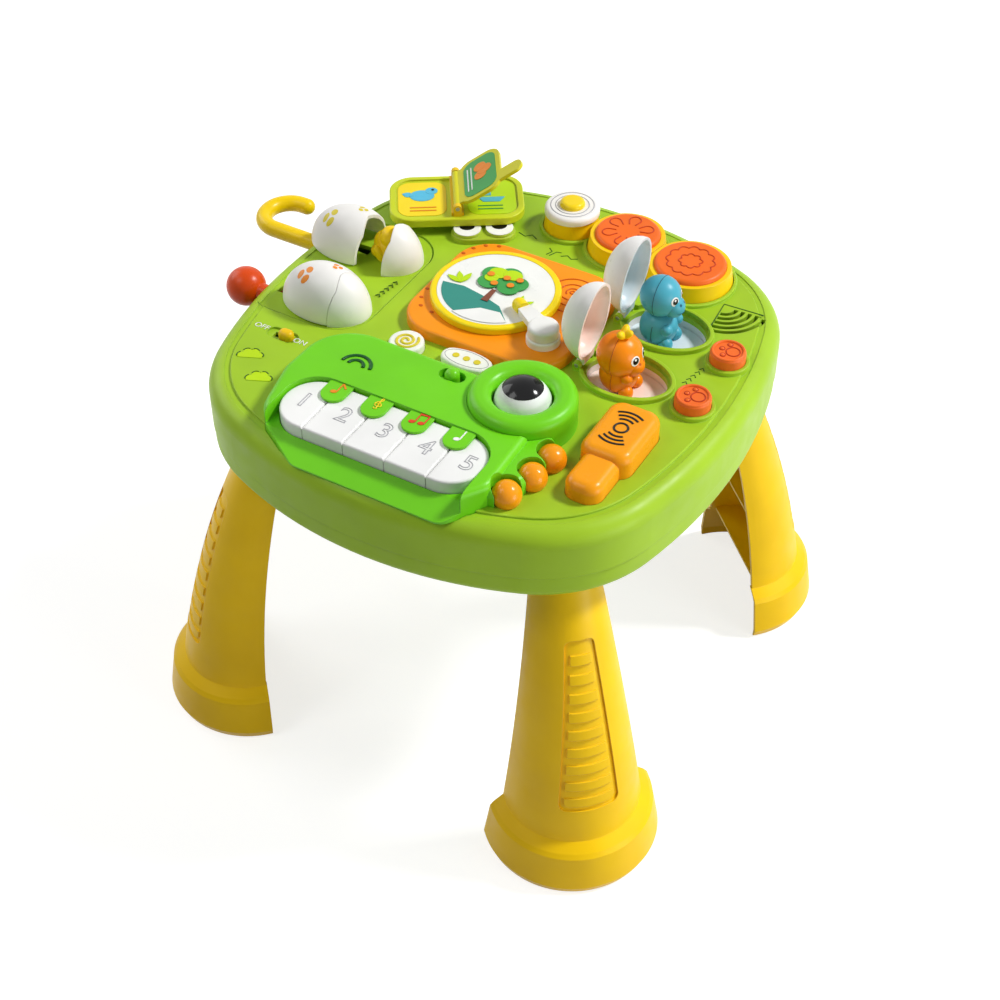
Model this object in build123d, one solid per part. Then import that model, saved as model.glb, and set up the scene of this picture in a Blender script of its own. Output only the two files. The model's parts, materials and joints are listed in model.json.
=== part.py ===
from build123d import *
import os
from math import atan2, cos, degrees, hypot, radians, sin

os.makedirs("parts", exist_ok=True)

# A child's musical activity table. Heights are measured from the top of the deck, and X and Y from
# the table's own upright axis. +X runs along the keyboard from key 1 to key 5, -Y is the keyboard side.
# Every piece is moved at the end so that the origin lies on the floor, under the middle of the whole.

# Clearances
GAP = 0.3  # between pieces that move past each other
FIT = 0.05  # radial clearance of a pin in its bore
SEAT = 0.15  # clearance of a plug or spigot in its socket

# Table body
DECK_HEIGHT = 285.0  # deck top above the floor
HALF_X = 175.0
HALF_Y = 179.5
CORNER_R = 95.0
CORNER_IN_X = 104.4  # centre of each corner arc, in from the side edges
CORNER_IN_Y = 108.9  # and in from the front and back edges
SHELL_DEPTH = 55.0  # deck top to the underside
PARTING_DEPTH = 37.0  # deck top to the line where the two shells meet
PARTING_STEP = 0.6  # the lower shell stands in by this much at the line
WALL = 2.5
DECK_THICK = 4.0
SHOULDER_R = 12.0
UNDER_R = 7.0
RIM_DROP = 1.0  # the rounded rim ends this far below the deck
DECK_INSET = 15.0
GROOVE_WIDTH = 4.0
GROOVE_DEPTH = 0.6
DECK_EDGE_R = 0.9
TABLE_AXIS_X = 19.5  # the hook sticks out on one side, so the table's axis is off the middle

# Case screws
SCREW_R = 1.5
SCREW_HEAD_R = 3.0
SCREW_HEAD = 2.4
SCREW_SLOT = (4.2, 0.8)
SCREW_SINK = 6.0  # depth of the hole below each screw head
SCREW_REACH = 14.0  # how far a screw goes above the parting line
BOSS_R = 5.0
BOSS_IN_X = 20.0  # from the side edges
BOSS_IN_Y = 21.5  # from the front and back edges
BOSS_ALONG = 70.0

# Legs, with r measured outwards from the table's axis along each diagonal
LEG_WALL = 3.0
LEG_TOP_OUT = 177.0
LEG_FOOT_OUT = 244.0
LEG_BOW = 44.0  # how far the outer line bends away from straight, times 4 at mid height
LEG_TOP_TIP = 152.0
LEG_FOOT_TIP = 188.0
LEG_TOP_HALF = 20.5
LEG_FOOT_HALF = 53.0
BOOT_HEIGHT = 35.0
BOOT_LEDGE = 6.0  # rise of the sloping ledge above the boot
BOOT_OUT = 9.0
BOOT_TUCK = 3.0
BOOT_ROOT = 0.6  # how far the boot runs into the leg, and stands proud of its open edges
LEG_STEPS = 5  # sections that shape each leg
RIB_COUNT = 4
RIB_FIRST = 0.7  # height of the lowest rib, as a share of the ribs' spacing
RIB_THICK = 2.0
RIB_BACK = 4.0  # the ribs stand back from the leg's open edges
TENON_R = 166.0
TENON_DEEP = 14.0
TENON_WIDE = 26.0
TENON_TALL = 11.0
PANEL_LOW = 66.0
PANEL_HIGH = 190.0
PANEL_LOW_HALF = 21.0
PANEL_HIGH_HALF = 9.5
PANEL_SINK = 1.6
PANEL_BORDER = 3.5  # plain groove around the ridges
RIDGE_PITCH = 13.0
RIDGE_TALL = 6.5
RIDGE_DROP = 0.4  # the ridges stay this far under the leg's face

# Press buttons, all of one build: a cap, a flange under the deck and a stem above a switch
BUTTON_TRAVEL = 2.0
FLANGE_OUT = 2.0
FLANGE_THICK = 2.0
STEM_R = 3.5
STEM_END = 18.0  # below the deck top
SWITCH_SIZE = 7.0
SWITCH_TALL = 4.0
POST_R = 5.5

# Paw buttons
PAW_X = 144.0
PAW_Y = (-3.0, 50.0)
PAW_R = 12.0
PAW_TOP = 10.0
PAW_EDGE = 1.2
COLLAR_WIDTH = 2.4
COLLAR_TALL = 3.0

# Hammer-shaped button
HAMMER_X = 122.0
HAMMER_Y = -61.0
HAMMER_WIDE = 35.0
HAMMER_LONG = 54.0
HAMMER_TOP = 17.0
HANDLE_WIDE = 25.0
HANDLE_LONG = 39.0
HANDLE_TOP = 13.0
HAMMER_CORNER = 10.0
HAMMER_EDGE = 6.5
HAMMER_TRAVEL = 3.0

# Snail and bubble buttons
SNAIL_AT = (-47.0, -41.0)
SNAIL_R = 12.0
SNAIL_TOP = 6.0
BUBBLE_AT = (-2.5, -38.0)
BUBBLE_LONG = 37.0
BUBBLE_WIDE = 19.0
BUBBLE_SIDE_R = 40.0  # of its long sides
BUBBLE_TOP = 6.0
SMALL_EDGE = 2.0

# Drums along the back edge
DRUM_AT = ((-18.5, 42.5), (28.8, 47.8), (82.5, 58.6))  # x, and distance from the back edge
DRUM_R = (20.5, 28.5, 30.5)
DRUM_FLANGE = 0.8
DRUM_TAPER = 2.0
DRUM_CUP_TOP = 13.0
DRUM_WALL = 3.4
DRUM_SEAT = 6.0  # height of the cup's floor
DRUM_PAD_TOP = 16.0
DRUM_PAD_EDGE = 3.0
DRUM_TRAVEL = 4.0
DRUM_COLLAR_TALL = 2.5
EGG_WHITE_R = 19.8
EGG_WHITE_TOP = 19.0
YOLK_R = 9.0
YOLK_TOP = 23.0
SPRING_R = 8.0
SPRING_WIRE = 1.5

# Keyboard
KEY_COUNT = 5
KEY_PITCH = 30.0
KEYS_MIDDLE_X = -6.0
KEYS_FROM_EDGE = 23.5  # front of the keys from the front edge
KEY_LONG = 46.0
KEYS_CORNER = 22.5
KEYS_END_IN = 2.5  # the end keys are this much narrower
KEY_TOP = 14.0
KEY_LOW = 4.0
KEY_GAP = 0.6
KEY_EDGE = 1.5
KEY_PIN_R = 1.5
KEY_PIN_IN = 3.2  # pin from the rear end of the keys
KEY_PIN_HEIGHT = 9.0
KEY_PIN_HOLD = 6.0  # length of pin held in the housing at each end
KEY_STEM_FROM_FRONT = 10.0
KEY_STEM_R = 3.0
KEY_DROP = 3.3  # travel at the front end

# Keyboard housing, shaped like an animal's head with a foot
HEAD_TOP = 17.0
HEAD_EDGE = 5.0
HEAD_LIP = 5.0  # height of the lip against the keys
HEAD_LIP_END = -1.6  # height that the lip slopes down to at its front
HEAD_LIP_LOW = 2.6  # how far the lip drops over the rim
HEAD_LEFT = ((-48.0, -174.0), (-84.0, -153.0), (-94.0, -112.0), (-92.0, -57.0))
HEAD_RIGHT = ((34.0, -58.0), (76.0, -92.0), (78.0, -146.0), (60.0, -174.0))
HEAD_ROUND = (12.0, 20.0, 22.0, 34.0, 16.0, 14.0, 12.0, 12.0)
HEAD_HOLLOW = 4.0  # wall left around the hollow behind the keys
FOOT_POINTS = ((44.0, -92.0), (90.0, -80.0), (95.0, -112.0), (86.0, -146.0), (58.0, -150.0))
FOOT_TOP = 13.0
FOOT_EDGE = 6.0
FOOT_ROUND = 9.0
TAB_WIDE = 17.0
TAB_LONG = 18.0
TAB_THICK = 1.6
TAB_CLEAR = 0.4
TOE_AT = ((84.6, -137.3), (90.5, -116.0), (92.5, -95.5))
TOE_R = 9.5
TOE_SINK = 5.0

# Eye
EYE_AT = (56.0, -67.0)
EYE_BALL_R = 18.8
EYE_HEIGHT = 13.0
EYE_RING_R = 35.0
EYE_RING_TOP = 24.0
EYE_RING_EDGE = 6.5
EYE_GAP = 0.8
EYE_PIN_R = 2.5
EYE_PIN_LONG = 6.0

# Sliders
MODE_AT = (5.5, -69.0)
MODE_BALL_R = 5.0
MODE_DEPTH = 6.0
MODE_TRAVEL = 4.0
POWER_AT = (-126.0, -71.0)
POWER_KNOB = (11.0, 8.5)
POWER_TALL = 5.0
POWER_STEM = (5.0, 4.0)
POWER_SLOT = (24.0, 11.0)
POWER_SINK = 1.5
POWER_TRAVEL = 4.0
POWER_REST = 3.0  # where the knob stands in its slot
POWER_EDGE = 3.5

# Turntable
PLINTH_AT = (-6.5, 28.5)
PLINTH_SIZE = (122.0, 113.0)
PLINTH_CORNER = 28.0
PLINTH_TOP = 8.0
PLINTH_EDGE = 2.5
PLATTER_AT = (-19.5, 29.5)
PLATTER_R = 44.8
PLATTER_RIM = 4.6
PLATTER_THICK = 5.0
PLATTER_EDGE = 1.6
LABEL_THICK = 0.5
LABEL_SINK = 0.7
SPINDLE_R = 4.0
SPINDLE_LONG = 15.0
SPINDLE_BOSS_R = 7.5

# Tone arm
ARM_AT = (33.0, 1.0)
ARM_BASE_R = 11.5
ARM_BASE_TALL = 5.5
ARM_PIN_R = 3.0
ARM_PIN_TALL = 4.5
ARM_HUB_R = 10.5
ARM_HUB_TALL = 8.0
ARM_LONG = 36.0
ARM_ANGLE = 150.0
ARM_HALF_HUB = 7.0
ARM_HALF_TIP = 4.5
ARM_LIFT = 1.4
ARM_THICK = 5.0
ARM_TIP_LONG = 11.0
ARM_TIP_R = 5.0

# Eggs on slides, left side
EGG_FROM_EDGE = 57.0
EGG_Y = (-27.0, 40.0)
EGG_BLUNT = 35.0
EGG_SHARP = 31.0
EGG_R = 23.0
EGG_TALL = 31.0
EGG_WALL = 2.0
EGG_CRACK = 13.0  # crack from the egg's middle
EGG_TOOTH = 3.0
EGG_TEETH = 8
EGG_TRAVEL = 22.0
EGG_BED_SINK = 0.8
EGG_BED_Y = (-52.0, 74.0)
EGG_BED_RIGHT = 34.0  # from the egg's middle
EGG_BED_LEFT = 60.0
EGG_BED_ROUND = 28.0
EGG_BED_GROOVE = 1.2  # width and depth of the groove round the bed
EGG_WEB = 8.0
EGG_WEB_AT = -14.0  # web from the egg's middle
EGG_TAB_WIDE = 8.0
EGG_ROD_DEPTH = 10.5
EGG_ROD_R = 6.0
EGG_SPIGOT_R = 2.6
BALL_R = 14.0
BALL_FROM_EDGE = 13.8
HOOK_BEND_R = 18.0
HOOK_STRAIGHT = 37.0  # straight rod beyond the table's edge when pulled out
HOOK_TIP = 4.0
BABY_AT = 5.0  # baby figure from the egg's middle
BABY_R = 10.5
BABY_SEAT = 7.5  # height of the body's middle
BABY_HEAD_R = 8.0
BABY_HEAD = (3.0, 18.5)  # forward and up

# Pop-up eggs, right side
POPUP_X = 92.0
POPUP_Y = (3.5, 62.0)
POPUP_BLUNT = 26.5
POPUP_SHARP = 31.0
POPUP_R = 21.2
POPUP_WALL = 2.0
POPUP_LEDGE = 1.0  # the deck reaches this far in under a closed lid's rim
POPUP_ROOM = 1.3  # between a closed lid and the collar around it
POPUP_COLLAR = 2.8
POPUP_COLLAR_TALL = 3.5
POPUP_FLOOR = 9.0  # depth of the raised floor below the deck
FLOOR_THICK = 2.0
WELL_WALL = 1.5
LID_HINGE_OUT = 3.6  # hinge from the blunt end
LID_HINGE_HEIGHT = 4.2
LID_BARREL_R = 3.0
LID_BARREL_HALF = 7.0
LID_LUG = 3.0
LID_OPEN = 84.0
PIN_R = 1.5
DINO_SINK = 22.5  # how far floor and figure sink as the lid closes
DINO_X = 88.0
DINO_BODY_R = 13.0
DINO_BODY_UP = 11.0  # heights of the figure's parts are above its floor
DINO_HEAD_R = (15.3, 14.0)
DINO_HEAD_UP = (26.7, 35.5)
DINO_SNOUT_R = 8.0
DINO_SNOUT = (9.5, -5.0)  # forward and up from the head's middle
DINO_ARM_R = 4.0
DINO_ARM = (9.5, 8.0, 15.0)
DINO_FOOT_R = 5.0
DINO_FOOT = (9.0, 7.0, 3.0)

# Picture book at the back left
BOOK_AT = (-100.0, 112.0)
BOOK_TURN = 33.0
BOOK_LONG = 97.0
BOOK_DEEP = 57.0
BOOK_CORNER = 17.0
BOOK_LOW = 7.0
BOOK_THICK = 6.0
BOOK_SINK = 1.2
BOOK_BORDER = 4.5
PEDESTAL = (76.0, 34.0)
SPINE_WIDE = 9.0
SPINE_TALL = 3.0
SPINE_LUG = 4.0
BOOK_PIN_R = 1.5
BOOK_BARREL_R = 3.0
PAGE_LONG = 35.0
PAGE_DEEP = 50.0
PAGE_THICK = 2.4
PAGE_CORNER = 11.0
PAGE_OPEN = 33.0
PAGE_TAB = (17.0, 12.0)
PAGE_TAB_Y = -14.0
PAGE_TAB_ROUND = 5.4
FROG_AT = (18.0, -30.0)  # in the book's own directions
FROG_LONG = 46.0
FROG_WIDE = 23.0
FROG_BASE = 4.0
FROG_EYE_R = 10.3
FROG_EYE_TALL = 2.0

# Speaker and its grille
GRILLE_AT = (117.0, 105.0)
GRILLE_SLOTS = 5
GRILLE_FIRST = 7.0
GRILLE_STEP = 5.0
GRILLE_SLOT = 3.0
GRILLE_FROM = -88.0
GRILLE_SWEEP = 92.0
SPEAKER_OUT = 13.0  # speaker's middle from the grille's corner, along X and along -Y
SPEAKER_R = 17.0
SPEAKER_RIM = 2.0
SPEAKER_DEEP = 16.0
MAGNET_R = 11.0

# Batteries and board
CELL_R = 7.1
CELL_LONG = 50.0
CELL_COUNT = 3
CELL_STEP = 15.0
CELL_NIPPLE_R = 2.7
CELL_NIPPLE = 1.2
BATTERY_AT = (18.0, 58.0)
BOX_WALL = 2.0
BOX_ROOM = 0.8
DOOR_THICK = 2.5
DOOR_LEDGE = 3.0
BOARD_AT = (-62.0, 20.0)
BOARD_SIZE = (72.0, 54.0)
BOARD_THICK = 1.6
BOARD_HEIGHT = 8.0  # above the floor of the case
STANDOFF_R = 3.0
CHIP_SIZE = 12.0
CHIP_TALL = 2.5

# Heights and places worked out from the sizes above
DECK_UNDER = -DECK_THICK
PARTING = -PARTING_DEPTH
CASE_BOTTOM = -SHELL_DEPTH
CASE_FLOOR = CASE_BOTTOM + WALL
FLOOR = -DECK_HEIGHT
LEG_HEIGHT = DECK_HEIGHT - SHELL_DEPTH
FLANGE_TOP = DECK_UNDER - GAP
FLANGE_LOW = FLANGE_TOP - FLANGE_THICK
EGG_X = EGG_FROM_EDGE - HALF_X
KEYS_FRONT = KEYS_FROM_EDGE - HALF_Y
KEYS_REAR = KEYS_FRONT + KEY_LONG
KEYS_MIDDLE_Y = KEYS_FRONT + KEY_LONG / 2
KEY_PIN_Y = KEYS_REAR - KEY_PIN_IN
DRUM_PLACES = [(x, HALF_Y - back) for x, back in DRUM_AT]
LID_HINGE_X = POPUP_X - POPUP_BLUNT - LID_HINGE_OUT
CORNER_X = HALF_X - CORNER_IN_X
CORNER_Y = HALF_Y - CORNER_IN_Y
KEYS_WIDE = KEY_COUNT * KEY_PITCH - 2 * KEYS_END_IN


def prism(face, low, high):
    """A flat shape carried straight up from one height to another."""
    return extrude(Pos(0, 0, low) * face, amount=high - low, dir=(0, 0, 1))


def disc(radius, low, high):
    return prism(Circle(radius), low, high)


def block(size_x, size_y, low, high):
    return prism(Rectangle(size_x, size_y), low, high)


def rod_x(radius, start, end, y, z):
    return Pos((start + end) / 2, y, z) * Rot(0, 90, 0) * Cylinder(radius, end - start)


def rod_y(radius, start, end, x, z):
    return Pos(x, (start + end) / 2, z) * Rot(90, 0, 0) * Cylinder(radius, end - start)


def round_top(part, radius):
    return fillet(part.edges().group_by(Axis.Z)[-1], radius)


def rounded_polygon(points, radii):
    return make_face(FilletPolyline(*points, radius=list(radii), close=True).edges())


def table_outline(inset):
    """The table's outline moved inwards: four long side arcs and four corner arcs, all tangent."""
    reach = CORNER_R - inset

    def leave_corner(half, along, across):
        free = half - CORNER_R
        behind = (along**2 + across**2 - free**2) / (2 * (free - along))
        length = hypot(along + behind, across)
        return (along + behind) / length, across / length

    side_x = leave_corner(HALF_X, CORNER_X, CORNER_Y)
    side_y = leave_corner(HALF_Y, CORNER_Y, CORNER_X)[::-1]
    middle = Vector(side_x[0] + side_y[0], side_x[1] + side_y[1]).normalized()

    def at(direction, sign_x, sign_y):
        x = CORNER_X + reach * direction[0]
        y = CORNER_Y + reach * direction[1]
        return sign_x * x, sign_y * y

    edges = []
    for sign in (1, -1):
        edges.append(ThreePointArc(at(side_x, sign, -1), (sign * (HALF_X - inset), 0), at(side_x, sign, 1)))
        edges.append(ThreePointArc(at(side_y, -1, sign), (0, sign * (HALF_Y - inset)), at(side_y, 1, sign)))
        for other in (1, -1):
            corner_middle = at((middle.X, middle.Y), sign, other)
            edges.append(ThreePointArc(at(side_x, sign, other), corner_middle, at(side_y, sign, other)))
    return make_face(edges)


def egg_face(blunt, sharp, radius):
    """The outline of an egg lying along X, its blunt end towards -X."""
    arcs = [
        EllipticalCenterArc((0, 0), sharp, radius, start_angle=0, arc_size=90),
        EllipticalCenterArc((0, 0), blunt, radius, start_angle=90, arc_size=90),
        EllipticalCenterArc((0, 0), blunt, radius, start_angle=180, arc_size=90),
        EllipticalCenterArc((0, 0), sharp, radius, start_angle=270, arc_size=90),
    ]
    return make_face(arcs)


def egg_solid(blunt, sharp, radius):
    right = EllipticalCenterArc((0, 0), sharp, radius, start_angle=0, arc_size=90)
    left = EllipticalCenterArc((0, 0), blunt, radius, start_angle=90, arc_size=90)
    return revolve(make_face([right, left, Line((-blunt, 0), (sharp, 0))]), Axis.X)


def dome(blunt, sharp, radius, wall):
    """The upper half of a hollow egg."""
    shell = egg_solid(blunt, sharp, radius) - egg_solid(blunt - wall, sharp - wall, radius - wall)
    return split(shell, bisect_by=Plane.XY, keep=Keep.TOP)


def press_button(face, top, edge):
    """A cap through the deck, with the flange that holds it in and the stem that works its switch."""
    cap = round_top(prism(face(0), FLANGE_TOP, top), edge)
    flange = prism(face(FLANGE_OUT), FLANGE_LOW, FLANGE_TOP)
    return cap + flange + disc(STEM_R, -STEM_END, FLANGE_LOW)


def button_hole(face):
    return prism(face(GAP), DECK_UNDER - WALL, DRUM_PAD_TOP)


def oval(long, wide, side_r):
    """An oval face of two broad arcs with round tips."""
    drop = side_r - wide / 2
    tip_r = (side_r**2 - drop**2 - (long / 2) ** 2) / (2 * side_r - long)
    lens = Pos(0, drop) * Circle(side_r) & Pos(0, -drop) * Circle(side_r)
    return fillet(lens.vertices(), tip_r)


# Faces of the buttons, each about its own middle and grown outwards by any amount
handle_y = -(HAMMER_LONG + HANDLE_LONG) / 2 + HAMMER_CORNER
hammer_head_face = RectangleRounded(HAMMER_WIDE, HAMMER_LONG, HAMMER_CORNER)
hammer_handle_face = Pos(0, handle_y) * RectangleRounded(HANDLE_WIDE, HANDLE_LONG, HAMMER_CORNER)


def round_face(radius):
    return lambda grow: Circle(radius + grow)


def bubble_face(grow):
    return oval(BUBBLE_LONG + 2 * grow, BUBBLE_WIDE + 2 * grow, BUBBLE_SIDE_R + grow)


def hammer_face(grow):
    return offset(hammer_head_face + hammer_handle_face, grow)


# Every place where a stem meets a switch: x, y and the travel above the switch
key_places = [
    (KEYS_MIDDLE_X + (number - (KEY_COUNT - 1) / 2) * KEY_PITCH, KEYS_FRONT + KEY_STEM_FROM_FRONT)
    for number in range(KEY_COUNT)
]
switch_places = [(PAW_X, y, BUTTON_TRAVEL) for y in PAW_Y]
switch_places += [(*SNAIL_AT, BUTTON_TRAVEL), (*BUBBLE_AT, BUTTON_TRAVEL)]
switch_places += [(HAMMER_X, HAMMER_Y, HAMMER_TRAVEL)]
switch_places += [(x, y, DRUM_TRAVEL) for x, y in DRUM_PLACES]
switch_places += [(x, y, KEY_DROP) for x, y in key_places]


def switch_top(travel):
    return -STEM_END - travel - GAP


boss_places = [
    (sign_x * (HALF_X - BOSS_IN_X), sign_y * BOSS_ALONG) for sign_x in (1, -1) for sign_y in (1, -1)
]
boss_places += [
    (sign_x * BOSS_ALONG, sign_y * (HALF_Y - BOSS_IN_Y)) for sign_x in (1, -1) for sign_y in (1, -1)
]
leg_turns = {"front_right": -45, "back_right": 45, "back_left": 135, "front_left": 225}

keys_face = Pos(KEYS_MIDDLE_X, KEYS_MIDDLE_Y) * RectangleRounded(
    KEYS_WIDE, KEY_LONG, KEYS_CORNER
)


def popup_face(grow):
    return egg_face(POPUP_BLUNT + grow, POPUP_SHARP + grow, POPUP_R + grow)


def egg_bed_face():
    low, high = EGG_BED_Y
    width = EGG_BED_LEFT + EGG_BED_RIGHT
    middle_x = EGG_X + (EGG_BED_RIGHT - EGG_BED_LEFT) / 2
    return Pos(middle_x, (low + high) / 2) * RectangleRounded(width, high - low, EGG_BED_ROUND)


def egg_slots():
    """The slots in the deck that the webs under the sliding eggs run in."""
    long = EGG_WEB + EGG_TRAVEL + 2 * GAP
    middle_x = EGG_X + EGG_WEB_AT - EGG_TRAVEL / 2
    wide = EGG_TAB_WIDE + 2 * GAP
    return [Pos(middle_x, y) * block(long, wide, DECK_UNDER - WALL, GAP) for y in EGG_Y]


def grille_slots():
    slots = []
    for number in range(GRILLE_SLOTS):
        inner = GRILLE_FIRST + number * GRILLE_STEP
        outer = inner + GRILLE_SLOT
        start, end = radians(GRILLE_FROM), radians(GRILLE_FROM + GRILLE_SWEEP)
        half = (start + end) / 2
        arc_out = ThreePointArc(*[(outer * cos(a), outer * sin(a)) for a in (start, half, end)])
        arc_in = ThreePointArc(*[(inner * cos(a), inner * sin(a)) for a in (start, half, end)])
        sides = [Line(arc_in @ 0, arc_out @ 0), Line(arc_in @ 1, arc_out @ 1)]
        slot = prism(make_face([arc_out, arc_in, *sides]), DECK_UNDER - WALL, WALL)
        slots.append(Pos(*GRILLE_AT) * slot)
    return slots


def upper_shell():
    rim_top = -RIM_DROP
    body = round_top(prism(table_outline(0), PARTING, rim_top), SHOULDER_R)
    plateau = round_top(prism(table_outline(DECK_INSET), DECK_UNDER, 0), DECK_EDGE_R)
    groove_face = table_outline(DECK_INSET - GROOVE_WIDTH) - table_outline(DECK_INSET)
    groove = prism(groove_face, rim_top - GROOVE_DEPTH, WALL)
    cavity = round_top(prism(table_outline(WALL), PARTING - WALL, DECK_UNDER), SHOULDER_R - WALL)
    body = body - prism(table_outline(DECK_INSET), DECK_UNDER, WALL) + plateau - groove - cavity
    bed_groove = egg_bed_face() - offset(egg_bed_face(), -EGG_BED_GROOVE)
    body -= prism(egg_bed_face(), -EGG_BED_SINK, WALL)
    body -= prism(bed_groove, -EGG_BED_SINK - EGG_BED_GROOVE, WALL)
    # Screw bosses
    for x, y in boss_places:
        boss = disc(BOSS_R, PARTING, DECK_UNDER) - disc(SCREW_R + FIT, PARTING, PARTING + SCREW_REACH + GAP)
        body += Pos(x, y) * boss
    # Collars around the paw buttons, the drums and the pop-up eggs, whose lugs stand behind them
    for y in PAW_Y:
        collar = disc(PAW_R + GAP + COLLAR_WIDTH, DECK_UNDER, COLLAR_TALL)
        body += Pos(PAW_X, y) * round_top(collar, COLLAR_WIDTH / 3)
        body -= Pos(PAW_X, y) * button_hole(round_face(PAW_R))
    for (x, y), radius in zip(DRUM_PLACES, DRUM_R):
        collar = disc(radius + GAP + COLLAR_WIDTH, DECK_UNDER, DRUM_COLLAR_TALL)
        body += Pos(x, y) * round_top(collar, COLLAR_WIDTH / 3)
    for (x, y), radius in zip(DRUM_PLACES, DRUM_R):
        body -= Pos(x, y) * button_hole(round_face(radius))
    for y in POPUP_Y:
        rim = prism(popup_face(POPUP_ROOM + POPUP_COLLAR), DECK_UNDER, POPUP_COLLAR_TALL)
        rim = round_top(rim, POPUP_COLLAR / 3) - prism(popup_face(POPUP_ROOM), 0, DRUM_PAD_TOP)
        hinge_room = 2 * (LID_BARREL_HALF + LID_LUG + 2 * GAP)
        rim -= Pos(LID_HINGE_X - POPUP_X, 0) * block(2 * POPUP_R, hinge_room, 0, DRUM_PAD_TOP)
        body += Pos(POPUP_X, y) * rim
        body -= Pos(POPUP_X, y) * prism(popup_face(-POPUP_LEDGE), DECK_UNDER - WALL, WALL)
        body += Pos(LID_HINGE_X, y) * lid_lugs()
    # Openings for the other buttons, the keys' stems, the eye and the turntable's spindle boss
    body -= Pos(HAMMER_X, HAMMER_Y) * button_hole(hammer_face)
    body -= Pos(*SNAIL_AT) * button_hole(round_face(SNAIL_R))
    body -= Pos(*BUBBLE_AT) * button_hole(bubble_face)
    for x, y in key_places:
        body -= Pos(x, y) * disc(KEY_STEM_R + 2 * KEY_GAP, DECK_UNDER - WALL, WALL)
    eye_room = EYE_BALL_R - EYE_GAP
    body -= Pos(*EYE_AT) * disc(eye_room, DECK_UNDER - WALL, WALL)
    body -= Pos(*PLATTER_AT) * disc(SPINDLE_BOSS_R + SEAT, DECK_UNDER - WALL, WALL)
    # Slide switch
    body -= Pos(*POWER_AT) * prism(SlotOverall(*POWER_SLOT), -POWER_SINK, WALL)
    slot = (POWER_STEM[0] + 2 * POWER_TRAVEL + 2 * GAP, POWER_STEM[1] + 2 * GAP)
    body -= Pos(*POWER_AT) * block(*slot, DECK_UNDER - WALL, WALL)
    # Egg slides: slots under the eggs, and holes in the side wall for the rods
    for cut in egg_slots():
        body -= cut
    for y in EGG_Y:
        body -= rod_x(EGG_ROD_R + GAP, -HALF_X - WALL, -HALF_X + CORNER_R / 4, y, -EGG_ROD_DEPTH)
    for cut in grille_slots():
        body -= cut
    # Seat of the keyboard's front lip on the rim
    body -= prism(offset(head_face(), GAP), -HEAD_LIP_LOW, WALL) - table_outline_block()
    # Rim around the speaker's seat
    speaker_seat = disc(SPEAKER_R + SEAT + WALL, DECK_UNDER - SPEAKER_RIM, DECK_UNDER)
    speaker_seat -= disc(SPEAKER_R + SEAT, DECK_UNDER - SPEAKER_RIM, DECK_UNDER)
    body += speaker_place() * speaker_seat
    return body


def table_outline_block():
    """The deck's own area, where the keyboard housing stands on the deck and cuts nothing away."""
    return prism(table_outline(DECK_INSET + GAP), -HEAD_TOP, HEAD_TOP)


def speaker_place():
    return Pos(GRILLE_AT[0] + SPEAKER_OUT, GRILLE_AT[1] - SPEAKER_OUT)


def battery_size():
    long = CELL_LONG + CELL_NIPPLE + 2 * BOX_ROOM
    wide = (CELL_COUNT - 1) * CELL_STEP + 2 * CELL_R + 2 * BOX_ROOM
    return long, wide


def lower_shell():
    bottom = prism(table_outline(PARTING_STEP), CASE_BOTTOM, PARTING)
    bottom = fillet(bottom.edges().group_by(Axis.Z)[0], UNDER_R)
    cavity = prism(table_outline(PARTING_STEP + WALL), CASE_FLOOR, PARTING + WALL)
    cavity = fillet(cavity.edges().group_by(Axis.Z)[0], UNDER_R - WALL)
    body = bottom - cavity
    # Screw bosses, counterbored from below
    for x, y in boss_places:
        boss = disc(BOSS_R, CASE_BOTTOM + WALL / 2, PARTING)
        body += Pos(x, y) * boss
        hole = disc(SCREW_R + FIT, CASE_BOTTOM, PARTING)
        sink = disc(SCREW_HEAD_R + SEAT, CASE_BOTTOM, CASE_BOTTOM + SCREW_SINK)
        body -= Pos(x, y) * (hole + sink)
    # Posts that carry the switches
    for x, y, travel in switch_places:
        radius = SPRING_R + GAP if travel == DRUM_TRAVEL else POST_R
        body += Pos(x, y) * disc(radius, CASE_FLOOR, switch_top(travel) - SWITCH_TALL)
    # Sockets for the legs' tenons
    deep, wide = TENON_DEEP + 2 * SEAT, TENON_WIDE + 2 * SEAT
    for turn in leg_turns.values():
        hole_top = CASE_BOTTOM + TENON_TALL + SEAT
        socket = block(deep + 2 * WALL, wide + 2 * WALL, CASE_FLOOR, hole_top + WALL)
        body += Rot(0, 0, turn) * Pos(TENON_R, 0) * socket
        hole = block(deep, wide, CASE_BOTTOM, hole_top)
        body -= Rot(0, 0, turn) * Pos(TENON_R, 0) * hole
    # Battery box with its door opening and the ledge that the door lies against
    long, wide = battery_size()
    box_top = CASE_BOTTOM + DOOR_THICK + 2 * CELL_R + BOX_ROOM
    box = block(long + 2 * BOX_WALL, wide + 2 * BOX_WALL, CASE_FLOOR, box_top + BOX_WALL)
    body += Pos(*BATTERY_AT) * box
    opening = block(long + 2 * DOOR_LEDGE, wide + 2 * DOOR_LEDGE, CASE_BOTTOM, CASE_BOTTOM + DOOR_THICK)
    frame = block(
        long + 2 * DOOR_LEDGE + 2 * WALL,
        wide + 2 * DOOR_LEDGE + 2 * WALL,
        CASE_FLOOR,
        CASE_BOTTOM + DOOR_THICK + BOX_WALL,
    )
    body += Pos(*BATTERY_AT) * frame
    body -= Pos(*BATTERY_AT) * block(long, wide, CASE_BOTTOM, box_top)
    body -= Pos(*BATTERY_AT) * opening
    # Standoffs for the circuit board
    for x, y in board_corners():
        body += Pos(x, y) * disc(STANDOFF_R, CASE_FLOOR, CASE_FLOOR + BOARD_HEIGHT)
    return body


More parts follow.
